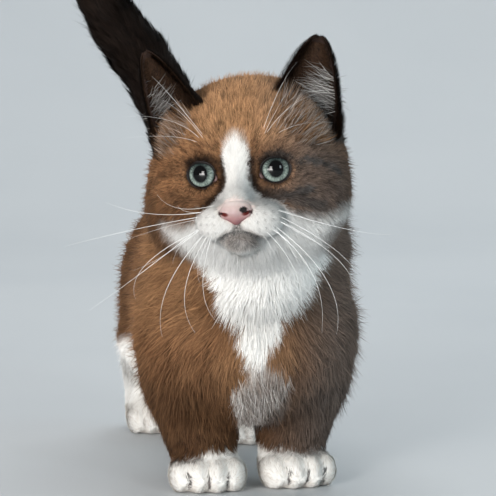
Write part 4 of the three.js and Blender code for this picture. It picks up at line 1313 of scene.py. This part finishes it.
def lid_band(sign, around=120):
    """A ring of points for each height over the globe and spread past the opening, in degrees"""
    profile = [
        (-0.02, -0.6), (0.25, -0.3), (0.6, 0.1), (0.85, 0.8), (0.95, 1.8), (0.9, 3.0), (0.7, 4.5), (0.3, 6.5),
    ]
    height, past = np.array(profile).T[:, :, None]
    angle = np.linspace(0, 2 * math.pi, around, endpoint=False)
    spread, radius = lid_opening(angle) + np.radians(past), EYE_RADIUS + 0.1 + height
    s, f = np.sin(spread) * np.cos(angle) * sign, np.cos(spread)
    turn = EYE_TURN * sign
    verts = np.stack([
        sign * EYE[0] + radius * (s * math.cos(turn) + f * math.sin(turn)),
        EYE[1] + radius * (s * math.sin(turn) - f * math.cos(turn)),
        EYE[2] + radius * np.sin(spread) * np.sin(angle),
    ], -1)
    corner = np.tile(0.75 * np.maximum(np.cos(angle - INNER_CORNER), 0) ** 60, len(profile))
    faces = lattice(len(profile), around)[:, ::-sign]
    return HEAD.outside(verts.reshape(-1, 3)), faces, columns(corner, corner, corner)


def lid_material():
    n = Nodes("lid")
    dark = n.mottle(700.0, tint(12, 9, 9), tint(30, 22, 20))
    n.base(n.mix(n.attribute("mark")[0], dark, tint(124, 98, 96)))
    n.bump(n.noise(2500.0), 0.25, 0.0002)
    n.set(Roughness=0.5, Specular_IOR_Level=0.25)
    return n.material


LID = lid_material()
for side, sign in (("left", 1), ("right", -1)):
    verts, faces, corner = lid_band(sign)
    lid = new_object("lid_rim_" + side, verts, faces, LID, colours={"mark": corner})
    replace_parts(lid, "eyelid_" + side)


# Nose


def nose_material():
    n = Nodes("nose_leather")
    hole, spot, rim = n.attribute("mark")[:3]
    speck = n.mottle(500.0, (0.92, 0.9, 0.9, 1), (1, 1, 1, 1))
    pink = n.ramp(rim, [
        (0.0, tint(206, 192, 187)), (0.1, tint(190, 171, 166)), (0.45, tint(179, 157, 156)),
        (0.66, tint(165, 134, 133)), (0.84, tint(148, 110, 110)), (0.96, tint(126, 85, 86)),
    ])
    pink = n.mix(1.0, pink, speck, "MULTIPLY")
    # dark red in the nostrils, partly the lining's colour and partly painted shade; near-black on the freckle
    n.base(n.mix(spot, n.mix(hole, pink, tint(92, 32, 28)), tint(22, 15, 15)))
    n.bump(n.texture("ShaderNodeTexVoronoi", 2600.0), 0.3, 0.0002)
    n.set(Roughness=0.5, Specular_IOR_Level=0.25, Subsurface_Weight=0.1, Subsurface_Scale=0.001)
    return n.material


middle = HEAD.outside([[0, -38, -16.5]])[0]
nose_lines = [spaced(c - 9.5, c + 9, [], 0.3, 0.36) for c in middle]
nose_verts, nose_quads = surface_net(nose_field, nose_lines, 3.0)
nose_q = HEAD.inside(nose_verts)
freckle = far((nose_q - [3.1, -41.2, -15.6]) * [0.75, 0.6, 1.15]) + 0.3 * noise(nose_q, 1.6, 61)
# the nostrils are painted dark red: partly the lining's own colour, partly painted shade inside them
nose_holes = ease(1.1, 0.75, NOSTRIL(nose_q))
nose_marks = columns(nose_holes, ease(1.6, 1.2, freckle), ease(-12.5, -21.2, nose_q[:, 2]))
nose = new_object("nose_leather", nose_verts, nose_quads, nose_material(), colours={"mark": nose_marks})
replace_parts(nose, "nose")


# Whiskers and the long hairs of the brows: root, middle and tip of each, in the head's frame

WHISKERS = [
    [[-11, -35, -15], [-33, -29, -15], [-54, -20, -9]],
    [[-12, -34.5, -17], [-39, -32, -20], [-70, -26, -25]],
    [[-12, -34.5, -19], [-37, -37, -36], [-60, -36, -50]],
    [[-11.5, -34.5, -21], [-36, -34, -33], [-43, -30, -47]],
    [[-11, -35, -22], [-28, -38, -42], [-32, -38, -62]],
    [[-10, -36, -22.5], [-21, -41, -43], [-18, -44, -61]],
    [[-9, -37, -22.5], [-14, -43, -43], [-8, -48, -58]],
    [[11.5, -35, -15], [38, -27, -25], [56, -16, -29]],
    [[12, -34.5, -17], [32, -31, -30], [43, -24, -43]],
    [[12, -34.5, -19], [34, -33, -34], [42, -28, -49]],
    [[11.5, -35, -21], [32, -38, -43], [35, -38, -65]],
    [[10, -36, -22], [27, -40, -40], [30, -42, -64]],
    [[8.5, -37, -22.5], [21, -42, -39], [23, -46, -58]],
]
BROW_HAIRS = [
    [[-11, -25.5, 11.3], [-24.3, -26, 29.8], [-33.3, -17, 38.7]],
    [[-12.8, -24.5, 9.2], [-22.9, -27, 19.5], [-45.3, -20, 23.5]],
    [[-13.2, -24.5, 8.6], [-21.2, -26, 13.6], [-45.5, -18, 15.4]],
    [[-11.8, -25, 10.6], [-18.7, -28, 21.1], [-28.7, -20, 28.9]],
    [[8.8, -25.5, 10], [16.8, -26, 27.4], [24.2, -17, 39.8]],
    [[9.6, -25, 9.5], [19.2, -27, 20.6], [31.8, -19, 27.2]],
    [[11, -24, 9.4], [22.4, -25, 15.1], [36.4, -16, 15.4]],
    [[9.3, -25, 9.9], [14.6, -28, 18.6], [20.7, -22, 29.1]],
]


def tube(points, thick, rows=26, around=6):
    """A hair bent through its middle, tapered to the tip, that starts a little under the skin"""
    root, middle, tip = (np.array(p, float) for p in points)
    root = root + unit(root - middle) * 2.5
    bow = middle - (root + tip) / 2
    t = np.linspace(0, 1, rows + 1)[:, None]
    path = root * (1 - t) + tip * t + bow * 4 * t * (1 - t)
    tangent = unit(tip - root + bow * 4 * (1 - 2 * t))
    side = unit(np.cross([0, 1, 0], tangent))
    turn = np.linspace(0, 2 * math.pi, around, endpoint=False)[:, None]
    ring = side[:, None] * np.cos(turn) + np.cross(tangent, side)[:, None] * np.sin(turn)
    verts = path[:, None] + (thick * (1 - 0.85 * t))[:, None] * ring
    return verts.reshape(-1, 3), lattice(rows + 1, around)


def whiskers():
    strands = [(points, 0.11) for points in WHISKERS] + [(points, 0.065) for points in BROW_HAIRS]
    for k in range(14):
        points = np.array(WHISKERS[k % 13], float)
        start = points[0] + rng.normal(0, 1.0, 3) * [1, 0.6, 1]
        bends = (points[1:] - points[0]) * rng.uniform(0.35, 0.7)
        strands.append(([start, start + bends[0], start + bends[1] + rng.normal(0, 3, 3)], 0.075))
    tubes = [tube(*strand) for strand in strands]
    faces = np.concatenate([faces + k * len(verts) for k, (verts, faces) in enumerate(tubes)])
    n = Nodes("whisker")
    n.base(n.mottle(60.0, tint(232, 230, 226), tint(250, 250, 250)))
    n.set(Roughness=0.35)
    verts = HEAD.outside(np.concatenate([verts for verts, _ in tubes]))
    piece = new_object("whiskers", verts, faces, n.material)


whiskers()


# Camera and light


PHOTO_PIXELS = 496.0
FOCAL_PIXELS = 3000.0
CAMERA_PLACE = [-210.35, -1186.4, 224.0]


def toward(azimuth, height):
    """The way from the kitten to a camera or lamp; azimuths go from its front towards its left"""
    a, h = math.radians(azimuth), math.radians(height)
    return Vector((math.sin(a) * math.cos(h), -math.cos(a) * math.cos(h), math.sin(h)))


def set_up(data, place, way):
    """A camera or lamp that looks back along a way"""
    piece = show(data.name, data)
    piece.location = place
    piece.rotation_mode = "QUATERNION"
    piece.rotation_quaternion = (-way).to_track_quat("-Z", "Y")
    return piece


def camera():
    data = bpy.data.cameras.new("camera")
    data.sensor_width = 36.0
    data.lens = FOCAL_PIXELS / PHOTO_PIXELS * data.sensor_width
    data.clip_start, data.clip_end = 0.05, 20.0
    bpy.context.scene.camera = set_up(data, Vector(row(CAMERA_PLACE)), toward(-10, 5.98))


def softbox(name, azimuth, height, distance, wide, tall, power, colour):
    data = bpy.data.lights.new(name, "AREA")
    data.shape = "RECTANGLE"
    data.size, data.size_y = wide, tall
    data.energy = power
    data.color = colour
    way = toward(azimuth, height)
    set_up(data, Vector((0, -0.06, 0.1)) + way * distance, way)


def studio():
    softbox("key", -33, 11, 1.5, 0.36, 0.46, 10.5, (1.0, 0.97, 0.93))
    softbox("low", -38, 2, 1.6, 0.9, 0.28, 15.0, (1.0, 0.98, 0.96))
    softbox("fill", 24, 17, 1.5, 0.24, 0.38, 3.0, (0.8, 0.95, 1.0))
    softbox("side", 84, 12, 1.6, 0.7, 0.7, 3.0, (0.5, 0.85, 1.0))
    softbox("back", 150, 42, 1.6, 0.8, 0.8, 7.0, (0.9, 0.97, 1.0))
    softbox("top", -160, 70, 1.6, 1.0, 1.0, 8.0, (1.0, 0.98, 0.96))
    world = bpy.data.worlds.new("studio")
    world.use_nodes = True
    colour, strength = world.node_tree.nodes["Background"].inputs[:2]
    colour.default_value = (0.92, 0.96, 1.0, 1)
    strength.default_value = 0.34
    bpy.context.scene.world = world
    bpy.context.scene.view_settings.view_transform = "Standard"


def floor():
    mesh = bpy.data.meshes.new("floor")
    reach, steps = 3.0, 24
    profile = [(-reach, 0.0), (0.9, 0.0)]
    for n in range(1, steps + 1):
        a = math.pi / 2 * n / steps
        profile.append((0.9 + 0.8 * math.sin(a), 0.8 - 0.8 * math.cos(a)))
    profile.append((1.7, 2.6))
    verts = [(x, y, z) for y, z in profile for x in (-reach, reach)]
    faces = [(2 * n, 2 * n + 1, 2 * n + 3, 2 * n + 2) for n in range(len(profile) - 1)]
    mesh.from_pydata(verts, [], faces)
    mesh.polygons.foreach_set("use_smooth", [True] * len(faces))
    n = Nodes("floor")
    n.base(n.mottle(3.0, tint(196, 200, 203), tint(204, 207, 209)))
    n.set(Roughness=0.6)
    mesh.materials.append(n.material)
    piece = show("floor", mesh)


camera()
studio()
floor()

bpy.context.view_layer.update()
